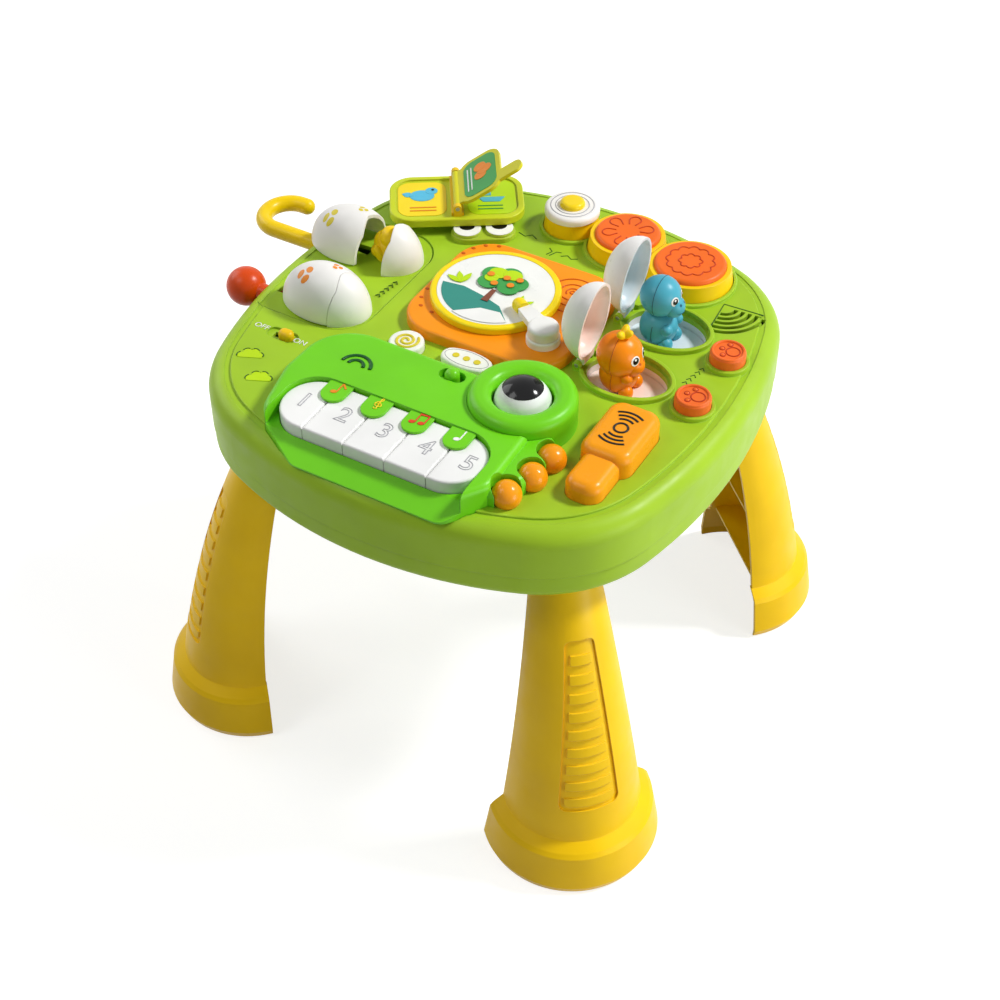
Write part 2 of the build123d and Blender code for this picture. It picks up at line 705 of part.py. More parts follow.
def board_corners():
    half_x = BOARD_SIZE[0] / 2 - STANDOFF_R
    half_y = BOARD_SIZE[1] / 2 - STANDOFF_R
    return [(BOARD_AT[0] + i * half_x, BOARD_AT[1] + j * half_y) for i in (1, -1) for j in (1, -1)]


def case_screws():
    head_low = CASE_BOTTOM + SCREW_SINK - SCREW_HEAD
    screw = disc(SCREW_HEAD_R, head_low, CASE_BOTTOM + SCREW_SINK)
    screw += disc(SCREW_R, CASE_BOTTOM + SCREW_SINK, PARTING + SCREW_REACH)
    slot = block(*SCREW_SLOT, head_low, head_low + SCREW_HEAD / 2)
    screw -= slot + Rot(0, 0, 90) * slot
    return [Pos(x, y) * screw for x, y in boss_places]


def battery_door():
    long, wide = battery_size()
    room = 2 * DOOR_LEDGE - 2 * SEAT
    door = block(long + room, wide + room, CASE_BOTTOM, CASE_BOTTOM + DOOR_THICK)
    finger = Pos(long / 2 - DOOR_LEDGE, 0) * disc(WALL * 2, CASE_BOTTOM, CASE_BOTTOM + DOOR_THICK / 2)
    return Pos(*BATTERY_AT) * (door - finger)


def batteries():
    lie = CASE_BOTTOM + DOOR_THICK + CELL_R
    cells = []
    for number in range(CELL_COUNT):
        y = (number - (CELL_COUNT - 1) / 2) * CELL_STEP
        turn = 180 * (number % 2)
        cell = rod_x(CELL_R, -CELL_LONG / 2, CELL_LONG / 2, 0, lie)
        cell += rod_x(CELL_NIPPLE_R, CELL_LONG / 2, CELL_LONG / 2 + CELL_NIPPLE, 0, lie)
        cells.append(Pos(BATTERY_AT[0], BATTERY_AT[1] + y, 0) * Rot(0, 0, turn) * cell)
    return cells


def circuit_board():
    low = CASE_FLOOR + BOARD_HEIGHT
    board = Pos(*BOARD_AT) * block(*BOARD_SIZE, low, low + BOARD_THICK)
    for step in (-1, 0, 1):
        chip = block(CHIP_SIZE, CHIP_SIZE, low + BOARD_THICK, low + BOARD_THICK + CHIP_TALL)
        board += Pos(BOARD_AT[0] + step * 2 * CHIP_SIZE, BOARD_AT[1]) * chip
    return board


def speaker():
    top = DECK_UNDER
    frame = disc(SPEAKER_R, top - SPEAKER_RIM, top)
    basket = Pos(0, 0, top - SPEAKER_RIM) * Rot(180, 0, 0) * Cone(
        SPEAKER_R - SPEAKER_RIM,
        MAGNET_R,
        SPEAKER_DEEP / 2,
        align=(Align.CENTER, Align.CENTER, Align.MIN),
    )
    magnet = disc(MAGNET_R, top - SPEAKER_DEEP, top - SPEAKER_RIM - SPEAKER_DEEP / 2)
    dish = disc(SPEAKER_R - 2 * SPEAKER_RIM, top - SPEAKER_RIM / 2, top)
    return speaker_place() * (frame + basket + magnet - dish)


def switches():
    blocks = []
    for x, y, travel in switch_places:
        top = switch_top(travel)
        blocks.append(Pos(x, y) * block(SWITCH_SIZE, SWITCH_SIZE, top - SWITCH_TALL, top))
    return blocks


def leg_section(above_floor, grow, inwards=0.0):
    """A leg's section: a half circle facing outwards with two straight sides, open edges inwards."""
    share = above_floor / LEG_HEIGHT
    bow = LEG_BOW * share * (1 - share)
    out = LEG_FOOT_OUT + (LEG_TOP_OUT - LEG_FOOT_OUT) * share + bow + grow
    half = LEG_FOOT_HALF + (LEG_TOP_HALF - LEG_FOOT_HALF) * share + grow
    tip = leg_tip(above_floor) - inwards
    middle = out - half
    edges = [
        Line((tip, -half), (middle, -half)),
        ThreePointArc((middle, -half), (out, 0), (middle, half)),
        Line((middle, half), (tip, half)),
        Line((tip, half), (tip, -half)),
    ]
    return Pos(0, 0, FLOOR + above_floor) * make_face(edges)


def leg_tip(above_floor):
    return LEG_FOOT_TIP + (LEG_TOP_TIP - LEG_FOOT_TIP) * (above_floor / LEG_HEIGHT) ** 2


def leg_loft(low, high, grow, inwards=0.0):
    heights = [low + (high - low) * number / (LEG_STEPS - 1) for number in range(LEG_STEPS)]
    return loft([leg_section(height, grow, inwards) for height in heights])


def boot_loft(grow, inwards, low):
    """The rounded boot round the foot, with its sloping ledge."""
    profile = (
        (low, BOOT_OUT - BOOT_TUCK),
        (BOOT_TUCK * 2, BOOT_OUT),
        (BOOT_HEIGHT - BOOT_TUCK, BOOT_OUT - BOOT_TUCK / 3),
        (BOOT_HEIGHT, BOOT_OUT - BOOT_TUCK),
        (BOOT_HEIGHT + BOOT_LEDGE, -BOOT_ROOT),
    )
    return loft([leg_section(height, out + grow, inwards) for height, out in profile], ruled=True)


def panel_arch(border):
    """A tapering arch seen from outside the leg, carried through it."""
    low, high = FLOOR + PANEL_LOW + border, FLOOR + PANEL_HIGH - border
    wide, narrow = PANEL_LOW_HALF - border, PANEL_HIGH_HALF - border
    points = ((-wide, low), (wide, low), (narrow, high), (-narrow, high))
    face = rounded_polygon(points, [narrow / 2] * len(points))
    return extrude(Plane.YZ * face, amount=LEG_FOOT_OUT * 2, dir=(1, 0, 0))


def ridge_panel():
    """The arch sunk into the leg's outer face, less the ridges that stand in it."""
    reach = (PANEL_LOW - RIDGE_PITCH, PANEL_HIGH + RIDGE_PITCH)
    sunk = (leg_loft(*reach, LEG_WALL) - leg_loft(*reach, -PANEL_SINK)) & panel_arch(0)
    ridge_top = leg_loft(*reach, -RIDGE_DROP) & panel_arch(PANEL_BORDER)
    for number in range(int((PANEL_HIGH - PANEL_LOW - 2 * PANEL_BORDER) / RIDGE_PITCH)):
        low = FLOOR + PANEL_LOW + PANEL_BORDER + number * RIDGE_PITCH
        bar = block(LEG_FOOT_OUT * 2, 2 * LEG_FOOT_HALF, low, low + RIDGE_TALL)
        sunk -= ridge_top & Pos(LEG_FOOT_OUT, 0, 0) * bar
    return sunk


def leg():
    clear = 2 * LEG_WALL
    outer = leg_loft(0, LEG_HEIGHT, 0) + boot_loft(0, BOOT_ROOT, 0)
    hollow = leg_loft(-clear, LEG_HEIGHT - LEG_WALL, -LEG_WALL, clear) + boot_loft(-LEG_WALL, clear, -clear)
    body = outer - hollow
    for number in range(RIB_COUNT):
        height = rib_height(number)
        rib = extrude(leg_section(height, -LEG_WALL / 2), amount=RIB_THICK, dir=(0, 0, 1))
        front = Pos(leg_tip(height), 0) * block(2 * RIB_BACK, 4 * LEG_FOOT_HALF, FLOOR, CASE_BOTTOM)
        body += rib - front
    body -= ridge_panel()
    tenon = block(TENON_DEEP, TENON_WIDE, CASE_BOTTOM, CASE_BOTTOM + TENON_TALL)
    return body + Pos(TENON_R, 0) * tenon


def rib_height(number):
    return LEG_HEIGHT * (number + RIB_FIRST) / RIB_COUNT


def head_face():
    return rounded_polygon(HEAD_LEFT + HEAD_RIGHT, HEAD_ROUND)


def keyboard_housing():
    head = round_top(prism(head_face(), 0, HEAD_TOP), HEAD_EDGE)
    foot_face = rounded_polygon(FOOT_POINTS, [FOOT_ROUND] * len(FOOT_POINTS))
    head += round_top(prism(foot_face, 0, FOOT_TOP), FOOT_EDGE)
    # Lip that drops over the rim in front of the keys
    head += prism(head_face(), -HEAD_LIP_LOW, HEAD_LIP) - table_outline_block()
    # Room for the keys, open at the front above the lip
    keys_room = offset(keys_face, KEY_GAP)
    head -= prism(keys_room, -HEAD_TOP, 2 * HEAD_TOP)
    keys_wide = KEYS_WIDE + 2 * KEY_GAP
    front_depth = HALF_Y + KEYS_FRONT + KEYS_CORNER
    front = Pos(KEYS_MIDDLE_X, KEYS_FRONT + KEYS_CORNER - front_depth / 2)
    head -= front * block(keys_wide, front_depth, HEAD_LIP, 2 * HEAD_TOP)
    # Slope of the lip down to its front
    lip_front = HEAD_LEFT[0][1]
    slope = ((KEYS_FRONT, HEAD_LIP), (lip_front, HEAD_LIP_END), (lip_front, HEAD_TOP), (KEYS_FRONT, HEAD_TOP))
    wedge = Plane.YZ * make_face(Polyline(*slope, close=True).edges())
    head -= Pos(KEYS_MIDDLE_X - keys_wide / 2, 0) * extrude(wedge, amount=keys_wide, dir=(1, 0, 0))
    # Rear hollow under the head's top
    hollow_face = offset(head_face(), -HEAD_HOLLOW)
    hollow_front = KEYS_REAR + KEY_GAP + HEAD_HOLLOW
    behind = Pos(0, hollow_front + HALF_Y / 2) * Rectangle(2 * HALF_X, HALF_Y)
    hollow = prism(hollow_face & behind, 0, HEAD_TOP - MODE_DEPTH - HEAD_HOLLOW / 2)
    head -= hollow
    # Places of the eye, the toes, the pin and the mode slider
    head -= Pos(*EYE_AT) * disc(EYE_RING_R + GAP, -HEAD_TOP, 2 * HEAD_TOP)
    for x, y in TOE_AT:
        head -= Pos(x, y) * disc(TOE_R + GAP, -HEAD_TOP, 2 * HEAD_TOP)
    # Tabs between the keys
    for number in range(1, KEY_COUNT):
        x = KEYS_MIDDLE_X + (number - KEY_COUNT / 2) * KEY_PITCH
        low = KEY_TOP + TAB_CLEAR
        tab_face = RectangleRounded(TAB_WIDE, TAB_LONG + TAB_WIDE, TAB_WIDE / 2 - TAB_CLEAR)
        tab = prism(tab_face, low, low + TAB_THICK)
        tab = Pos(x, KEYS_REAR - (TAB_LONG - TAB_WIDE) / 2) * tab
        keep_y = KEYS_REAR + KEY_GAP + HEAD_HOLLOW - TAB_LONG
        head += tab & Pos(x, keep_y) * block(2 * TAB_WIDE, 2 * TAB_LONG, 0, HEAD_TOP)
    head -= key_pin(FIT)
    slot = SlotOverall(2 * (MODE_BALL_R + MODE_TRAVEL + GAP), 2 * (MODE_BALL_R + GAP))
    head -= Pos(*MODE_AT) * prism(slot, HEAD_TOP - MODE_DEPTH, 2 * HEAD_TOP)
    return head


def key_pin(clearance):
    half = KEYS_WIDE / 2 + KEY_PIN_HOLD
    return rod_x(
        KEY_PIN_R + clearance, KEYS_MIDDLE_X - half, KEYS_MIDDLE_X + half, KEY_PIN_Y, KEY_PIN_HEIGHT
    )


def keys():
    found = []
    first_x, last_x = key_places[0][0], key_places[-1][0]
    half = (KEY_PITCH - KEY_GAP) / 2
    for x, stem_y in key_places:
        low = x - half - (KEY_PITCH if x == first_x else 0)
        high = x + half + (KEY_PITCH if x == last_x else 0)
        strip = Pos((low + high) / 2, KEYS_MIDDLE_Y) * Rectangle(high - low, 2 * KEY_LONG)
        key = round_top(prism(keys_face & strip, KEY_LOW, KEY_TOP), KEY_EDGE)
        key += Pos(x, stem_y) * disc(KEY_STEM_R, -STEM_END, KEY_LOW)
        found.append(key - key_pin(FIT))
    return found


def toe_lights():
    toe = split(Pos(0, 0, TOE_SINK) * Sphere(TOE_R), bisect_by=Plane.XY, keep=Keep.TOP)
    return [Pos(x, y) * toe for x, y in TOE_AT]


def eye_surround():
    ring = disc(EYE_RING_R, 0, EYE_RING_TOP) - disc(EYE_BALL_R + EYE_GAP, -WALL, 2 * EYE_RING_TOP)
    ring = round_top(ring, EYE_RING_EDGE)
    return Pos(*EYE_AT) * (ring - eye_pins(FIT))


def eye_pins(clearance):
    half = EYE_BALL_R + EYE_PIN_LONG + (clearance and GAP)
    return rod_x(EYE_PIN_R + clearance, -half, half, 0, EYE_HEIGHT)


def eye_ball():
    return Pos(*EYE_AT) * (Pos(0, 0, EYE_HEIGHT) * Sphere(EYE_BALL_R) + eye_pins(0))


def mode_slider():
    low = HEAD_TOP - MODE_DEPTH
    slider = disc(MODE_BALL_R, low, HEAD_TOP) + Pos(0, 0, HEAD_TOP) * Sphere(MODE_BALL_R)
    return Pos(*MODE_AT) * slider


def power_switch():
    knob = round_top(prism(SlotOverall(*POWER_KNOB), GAP - POWER_SINK, POWER_TALL), POWER_EDGE)
    stem = block(*POWER_STEM, FLANGE_TOP, GAP - POWER_SINK)
    flange = block(POWER_KNOB[0], POWER_KNOB[1], FLANGE_LOW, FLANGE_TOP)
    return Pos(POWER_AT[0] + POWER_REST, POWER_AT[1]) * (knob + stem + flange)


def hammer_button():
    head = round_top(prism(hammer_head_face, FLANGE_TOP, HAMMER_TOP), HAMMER_EDGE)
    handle = round_top(prism(hammer_handle_face, FLANGE_TOP, HANDLE_TOP), HAMMER_EDGE)
    flange = prism(hammer_face(FLANGE_OUT), FLANGE_LOW, FLANGE_TOP)
    return Pos(HAMMER_X, HAMMER_Y) * (head + handle + flange + disc(STEM_R, -STEM_END, FLANGE_LOW))


def drum_seams(number):
    """What lies beyond the straight seams between a drum and its neighbours."""
    seams = []
    x, y = DRUM_PLACES[number]
    reach = 2 * DRUM_R[number]
    for other in (number - 1, number + 1):
        if 0 <= other < len(DRUM_PLACES):
            away_x = DRUM_PLACES[other][0] - x
            away_y = DRUM_PLACES[other][1] - y
            share = DRUM_R[number] / (DRUM_R[number] + DRUM_R[other])
            seam = hypot(away_x, away_y) * share - GAP
            beyond = Pos(seam + reach / 2, 0) * block(reach, reach, FLANGE_LOW, DRUM_CUP_TOP)
            seams.append(Rot(0, 0, degrees(atan2(away_y, away_x))) * beyond)
    return seams


def drum_cup(number):
    radius = DRUM_R[number]
    cup = disc(radius, FLANGE_TOP, 0) + Cone(
        radius, radius - DRUM_TAPER, DRUM_CUP_TOP, align=(Align.CENTER, Align.CENTER, Align.MIN)
    )
    cup -= disc(pad_radius(radius) + SEAT, DRUM_SEAT, 2 * DRUM_CUP_TOP)
    cup += disc(radius + DRUM_FLANGE, FLANGE_LOW, FLANGE_TOP)
    for seam in drum_seams(number):
        cup -= seam
    return cup + disc(STEM_R, -STEM_END, FLANGE_LOW)


def pad_radius(radius):
    return radius - DRUM_TAPER - DRUM_WALL


def drum_pad(radius):
    return round_top(disc(pad_radius(radius), DRUM_SEAT, DRUM_PAD_TOP), DRUM_PAD_EDGE)


def egg_white():
    stub = disc(pad_radius(DRUM_R[0]), DRUM_SEAT, DRUM_CUP_TOP + GAP)
    cap = round_top(disc(EGG_WHITE_R, DRUM_CUP_TOP + GAP, EGG_WHITE_TOP), DRUM_PAD_EDGE)
    return stub + cap


def egg_yolk():
    return round_top(disc(YOLK_R, EGG_WHITE_TOP, YOLK_TOP), DRUM_PAD_EDGE)


def drum_spring():
    low = switch_top(DRUM_TRAVEL) - SWITCH_TALL
    return disc(SPRING_R, low, FLANGE_LOW) - disc(SPRING_R - SPRING_WIRE, low, FLANGE_LOW)


def turntable_plinth():
    face = RectangleRounded(*PLINTH_SIZE, PLINTH_CORNER)
    plinth = Pos(*PLINTH_AT) * round_top(prism(face, 0, PLINTH_TOP), PLINTH_EDGE)
    boss_low = PLINTH_TOP + GAP - SPINDLE_LONG
    plinth += Pos(*PLATTER_AT) * disc(SPINDLE_BOSS_R, boss_low, PLINTH_TOP / 2)
    return plinth - Pos(*PLATTER_AT) * disc(SPINDLE_R + FIT, boss_low, 2 * PLINTH_TOP)


def turntable_platter():
    low = PLINTH_TOP + GAP
    top = low + PLATTER_THICK
    platter = round_top(disc(PLATTER_R, low, top), PLATTER_EDGE)
    platter -= disc(PLATTER_R - PLATTER_RIM, top - LABEL_SINK, 2 * top)
    platter += disc(SPINDLE_R, low - SPINDLE_LONG, low)
    return Pos(*PLATTER_AT) * platter


def turntable_label():
    low = PLINTH_TOP + GAP + PLATTER_THICK - LABEL_SINK
    return Pos(*PLATTER_AT) * disc(PLATTER_R - PLATTER_RIM - SEAT, low, low + LABEL_THICK)


def arm_base():
    top = PLINTH_TOP + ARM_BASE_TALL
    base = round_top(disc(ARM_BASE_R, PLINTH_TOP, top), PLATTER_EDGE)
    return Pos(*ARM_AT) * (base + disc(ARM_PIN_R, top, top + ARM_PIN_TALL))


def arm_place():
    return Pos(*ARM_AT) * Rot(0, 0, ARM_ANGLE)


def arm_low():
    return PLINTH_TOP + ARM_BASE_TALL + GAP


def tone_arm():
    low = arm_low()
    hub = round_top(disc(ARM_HUB_R, low, low + ARM_HUB_TALL), ARM_THICK / 2)
    end = ARM_LONG - ARM_TIP_LONG
    points = ((0, -ARM_HALF_HUB), (end, -ARM_HALF_TIP), (end, ARM_HALF_TIP), (0, ARM_HALF_HUB))
    bar = prism(make_face(Polyline(*points, close=True).edges()), low + ARM_LIFT, low + ARM_LIFT + ARM_THICK)
    bore = disc(ARM_PIN_R + FIT, low, low + ARM_PIN_TALL + GAP)
    return arm_place() * (hub + bar - bore)


def tone_arm_tip():
    middle = arm_low() + ARM_LIFT + ARM_THICK / 2
    start = ARM_LONG - ARM_TIP_LONG
    tip = rod_x(ARM_TIP_R, start, ARM_LONG - ARM_TIP_R, 0, middle)
    tip += Pos(ARM_LONG - ARM_TIP_R, 0, middle) * Sphere(ARM_TIP_R)
    floor = arm_low() + GAP
    return arm_place() * (tip - block(4 * ARM_LONG, 4 * ARM_TIP_R, 0, floor))


def crack_cutter():
    """Everything to the right of the eggs' zigzag crack."""
    right, back = 2 * EGG_SHARP, 2 * EGG_R
    points = [(right, -back)]
    for number in range(EGG_TEETH + 1):
        shift = EGG_TOOTH if number % 2 else -EGG_TOOTH
        points.append((EGG_CRACK + shift / 2, -back + 2 * back * number / EGG_TEETH))
    points.append((right, back))
    return prism(make_face(Polyline(*points, close=True).edges()), -EGG_TALL, 2 * EGG_TALL)


def egg_place(number):
    return Pos(EGG_X, EGG_Y[number])


def egg_moved(number):
    """The second egg stands pulled open."""
    return -EGG_TRAVEL * number


def egg_stretch(part):
    """An egg's shape drawn up to the eggs' height, and set clear of the deck."""
    return Pos(0, 0, GAP) * scale(part, by=(1, 1, EGG_TALL / EGG_R))


def egg_dome():
    return egg_stretch(dome(EGG_BLUNT, EGG_SHARP, EGG_R, EGG_WALL))


def egg_shell(number):
    """The half that slides, with the web under it that the rod is fixed to."""
    shell = egg_dome() - crack_cutter()
    web = Pos(EGG_WEB_AT, 0) * block(EGG_WEB, 2 * EGG_R, GAP, EGG_TALL)
    web &= egg_stretch(egg_solid(EGG_BLUNT, EGG_SHARP, EGG_R - EGG_WALL / 2))
    tab_low = -EGG_ROD_DEPTH - EGG_ROD_R
    tab = Pos(EGG_WEB_AT, 0) * block(EGG_WEB, EGG_TAB_WIDE, tab_low, GAP + EGG_WALL)
    ends = (EGG_WEB_AT - EGG_WEB, EGG_WEB_AT + EGG_WEB)
    bore = rod_x(EGG_SPIGOT_R + FIT, *ends, 0, -EGG_ROD_DEPTH)
    return egg_place(number) * Pos(egg_moved(number), 0) * (shell + web + tab - bore)


def egg_end_shells():
    """The ends that stay on the deck, each a little clear of the crack."""
    inner = egg_face(EGG_BLUNT - EGG_WALL, EGG_SHARP - EGG_WALL, EGG_R - EGG_WALL)
    skirt = prism(egg_face(EGG_BLUNT, EGG_SHARP, EGG_R) - inner, -EGG_BED_SINK, GAP)
    end = (egg_dome() + skirt) & crack_cutter()
    return [egg_place(number) * Pos(GAP, 0) * end for number in range(2)]


def egg_rod(number, end):
    """The rod that pulls an egg, from its spigot in the web out to a given x."""
    web_x = EGG_X + EGG_WEB_AT + egg_moved(number)
    start = web_x - EGG_WEB / 2
    y, z = EGG_Y[number], -EGG_ROD_DEPTH
    spigot = rod_x(EGG_SPIGOT_R, start, web_x + EGG_WEB / 2, y, z)
    return spigot + rod_x(EGG_ROD_R, end, start, y, z)


def egg_knob():
    middle = -HALF_X - BALL_FROM_EDGE
    return egg_rod(0, middle) + Pos(middle, EGG_Y[0], -EGG_ROD_DEPTH) * Sphere(BALL_R)


def egg_hook():
    bend_x = -HALF_X - HOOK_STRAIGHT
    y, z = EGG_Y[1], -EGG_ROD_DEPTH
    far = y + 2 * HOOK_BEND_R
    bend = ThreePointArc(
        (bend_x, y, z), (bend_x - HOOK_BEND_R, y + HOOK_BEND_R, z), (bend_x, far, z)
    )
    section = Plane(origin=(bend_x, y, z), x_dir=(0, 1, 0), z_dir=(-1, 0, 0)) * Circle(EGG_ROD_R)
    loop = sweep(section, path=bend)
    tip = rod_x(EGG_ROD_R, bend_x, bend_x + HOOK_TIP, far, z)
    tip += Pos(bend_x + HOOK_TIP, far, z) * Sphere(EGG_ROD_R)
    return egg_rod(1, bend_x) + loop + tip


def baby_figure():
    """A small sitting figure: round body and round head."""
    body = Pos(0, 0, BABY_SEAT) * Sphere(BABY_R)
    head = Pos(BABY_HEAD[0], 0, BABY_HEAD[1]) * Sphere(BABY_HEAD_R)
    return split(body + head, bisect_by=Plane.XY, keep=Keep.TOP)


def egg_babies():
    return [egg_place(number) * Pos(BABY_AT, 0, -EGG_BED_SINK) * baby_figure() for number in range(2)]


def lid_lugs():
    """The two lugs that a lid's barrel turns between, about the hinge."""
    lugs = []
    inner = LID_BARREL_HALF + GAP
    for side in (1, -1):
        low, high = sorted((side * inner, side * (inner + LID_LUG)))
        lug = rod_y(LID_BARREL_R, low, high, 0, LID_HINGE_HEIGHT)
        lug += Pos(0, (low + high) / 2) * block(2 * LID_BARREL_R, LID_LUG, DECK_UNDER, LID_HINGE_HEIGHT)
        lugs.append(lug - lid_pin_at(0, LID_HINGE_HEIGHT, inner + LID_LUG, FIT))
    return lugs[0] + lugs[1]


def popup_well():
    """The closed well under the deck that a figure's floor slides in."""
    low = -POPUP_FLOOR - FLOOR_THICK - DINO_SINK - GAP
    well = prism(popup_face(WELL_WALL - POPUP_LEDGE), low - WELL_WALL, DECK_UNDER)
    return well - prism(popup_face(-POPUP_LEDGE), low, DECK_UNDER)


def popup_floor():
    return prism(popup_face(-POPUP_LEDGE - GAP), -POPUP_FLOOR - FLOOR_THICK, -POPUP_FLOOR)


def lid_pin_at(x, height, half, clearance):
    return rod_y(PIN_R + clearance, -half, half, x, height)


def popup_pins():
    pin = lid_pin_at(LID_HINGE_X, LID_HINGE_HEIGHT, LID_BARREL_HALF + GAP + LID_LUG, 0)
    return [Pos(0, y) * pin for y in POPUP_Y]


def popup_lid(y):
    """A half egg on a hinge, made closed and then turned open about the hinge."""
    rim = GAP
    lid = Pos(POPUP_X, 0, rim) * dome(POPUP_BLUNT, POPUP_SHARP, POPUP_R, POPUP_WALL)
    half = LID_BARREL_HALF
    barrel = rod_y(LID_BARREL_R - GAP, -half, half, LID_HINGE_X, LID_HINGE_HEIGHT)
    bridge_end = POPUP_X - POPUP_BLUNT + 2 * POPUP_WALL
    bridge = Pos((LID_HINGE_X + bridge_end) / 2, 0) * block(
        bridge_end - LID_HINGE_X, 2 * half, rim, rim + 2 * POPUP_WALL
    )
    bridge -= Pos(POPUP_X, 0, rim) * egg_solid(
        POPUP_BLUNT - POPUP_WALL, POPUP_SHARP - POPUP_WALL, POPUP_R - POPUP_WALL
    )
    lid = lid + barrel + bridge - lid_pin_at(LID_HINGE_X, LID_HINGE_HEIGHT, 2 * half, FIT)
    hinge = Axis((LID_HINGE_X, 0, LID_HINGE_HEIGHT), (0, 1, 0))
    return Pos(0, y) * lid.rotate(hinge, -LID_OPEN)


def popup_dino(number):
    """A chubby baby dinosaur that stands on its floor."""
    head_up = DINO_HEAD_UP[number]
    figure = Pos(0, 0, DINO_BODY_UP) * Sphere(DINO_BODY_R)
    figure += Pos(0, 0, head_up) * Sphere(DINO_HEAD_R[number])
    figure += Pos(DINO_SNOUT[0], 0, head_up + DINO_SNOUT[1]) * Sphere(DINO_SNOUT_R)
    for side in (1, -1):
        figure += Pos(DINO_ARM[0], side * DINO_ARM[1], DINO_ARM[2]) * Sphere(DINO_ARM_R)
        figure += Pos(DINO_FOOT[0], side * DINO_FOOT[1], DINO_FOOT[2]) * Sphere(DINO_FOOT_R)
    figure = split(figure, bisect_by=Plane.XY, keep=Keep.TOP)
    return Pos(DINO_X, POPUP_Y[number], -POPUP_FLOOR) * figure


def book_place():
    return Pos(*BOOK_AT) * Rot(0, 0, BOOK_TURN)


def book_top():
    return BOOK_LOW + BOOK_THICK


def book_pin_height():
    return book_top() + SPINE_TALL + BOOK_BARREL_R


def book_base():
    base = prism(RectangleRounded(BOOK_LONG, BOOK_DEEP, BOOK_CORNER), BOOK_LOW, book_top())
    inner = offset(RectangleRounded(BOOK_LONG, BOOK_DEEP, BOOK_CORNER), -BOOK_BORDER)
    middle = Rectangle(SPINE_WIDE, BOOK_DEEP)
    base = round_top(base, BOOK_SINK) - prism(inner - middle, book_top() - BOOK_SINK, 2 * book_top())
    base += block(*PEDESTAL, 0, BOOK_LOW)
    return book_place() * base


def book_spine():
    top = book_top()
    spine = block(SPINE_WIDE, BOOK_DEEP - 2 * BOOK_BORDER, top, top + SPINE_TALL - GAP)
    for side in (1, -1):
        middle = side * (PAGE_DEEP / 2 + GAP - SPINE_LUG / 2)
        lug = block(2 * BOOK_BARREL_R, SPINE_LUG, top, book_pin_height())
        lug += rod_y(BOOK_BARREL_R, -SPINE_LUG / 2, SPINE_LUG / 2, 0, book_pin_height())
        spine += Pos(0, middle) * lug
    return book_place() * (spine - book_pin_rod(FIT))


def book_pin_rod(clearance):
    half = PAGE_DEEP / 2 + GAP
    return rod_y(BOOK_PIN_R + clearance, -half, half, 0, book_pin_height())


def book_pin():
    return book_place() * book_pin_rod(0)


def book_page():
    """The turning page, made lying to the right and then lifted about the pin."""
    half = PAGE_DEEP / 2 - SPINE_LUG
    height = book_pin_height()
    barrel = rod_y(BOOK_BARREL_R - GAP, -half, half, 0, height)
    face = Pos(PAGE_LONG / 2 + BOOK_BARREL_R, 0) * RectangleRounded(PAGE_LONG, PAGE_DEEP, PAGE_CORNER)
    tab = RectangleRounded(2 * PAGE_TAB[0], PAGE_TAB[1], PAGE_TAB_ROUND)
    face += Pos(PAGE_LONG + BOOK_BARREL_R, PAGE_TAB_Y) * tab
    face += Pos(BOOK_BARREL_R, 0) * Rectangle(2 * BOOK_BARREL_R, 2 * half)
    page = prism(face, height - PAGE_THICK / 2, height + PAGE_THICK / 2)
    page = page + barrel - book_pin_rod(FIT)
    return book_place() * page.rotate(Axis((0, 0, height), (0, 1, 0)), -PAGE_OPEN)


def frog_eyes():
    plate = round_top(prism(SlotOverall(FROG_LONG, FROG_WIDE), 0, FROG_BASE), SMALL_EDGE / 2)
    for side in (1, -1):
        eye = round_top(disc(FROG_EYE_R, FROG_BASE, FROG_BASE + FROG_EYE_TALL), SMALL_EDGE / 2)
        plate += Pos(side * (FROG_LONG - FROG_WIDE) / 2, 0) * eye
    return book_place() * Pos(*FROG_AT) * plate


def save(name, part):
    """Writes a piece, or a group of like pieces, in the frame that stands on the floor."""
    pieces = part if isinstance(part, list) else [part]
    placed = [Pos(TABLE_AXIS_X, 0, DECK_HEIGHT) * piece for piece in pieces]
    solids = [solid for piece in placed for solid in piece.solids()]
    export_step(Compound(children=solids) if len(solids) > 1 else solids[0], f"parts/{name}.step")


save("upper_shell", upper_shell())
save("lower_shell", lower_shell())
save("battery_door", battery_door())
save("batteries", batteries())
save("circuit_board", circuit_board())
save("speaker_and_switches", [speaker(), *switches()])
one_leg = leg()
for corner, turn in leg_turns.items():
    save(f"leg_{corner}", Rot(0, 0, turn) * one_leg)
save("keyboard_housing", keyboard_housing())
for number, key in enumerate(keys(), start=1):
    save(f"key_{number}", key)
save("toe_lights", toe_lights())
save("eye_surround", eye_surround())
save("eye_ball", eye_ball())
save("mode_slider", mode_slider())
save("power_switch", power_switch())
save("hammer_button", hammer_button())
save("snail_button", Pos(*SNAIL_AT) * press_button(round_face(SNAIL_R), SNAIL_TOP, SMALL_EDGE))
save("bubble_button", Pos(*BUBBLE_AT) * press_button(bubble_face, BUBBLE_TOP, SMALL_EDGE))
for place, y in zip(("front", "rear"), PAW_Y):
    save(f"paw_button_{place}", Pos(PAW_X, y) * press_button(round_face(PAW_R), PAW_TOP, PAW_EDGE))
for number, name in enumerate(("egg", "middle", "right")):
    drum_place = Pos(*DRUM_PLACES[number])
    save(f"drum_{name}_cup", drum_place * drum_cup(number))
    save(f"drum_{name}_spring", drum_place * drum_spring())
    if name != "egg":
        save(f"drum_{name}_pad", drum_place * drum_pad(DRUM_R[number]))
save("drum_egg_white", Pos(*DRUM_PLACES[0]) * egg_white())
save("drum_egg_yolk", Pos(*DRUM_PLACES[0]) * egg_yolk())
save("turntable_plinth", turntable_plinth())
save("turntable_platter", turntable_platter())
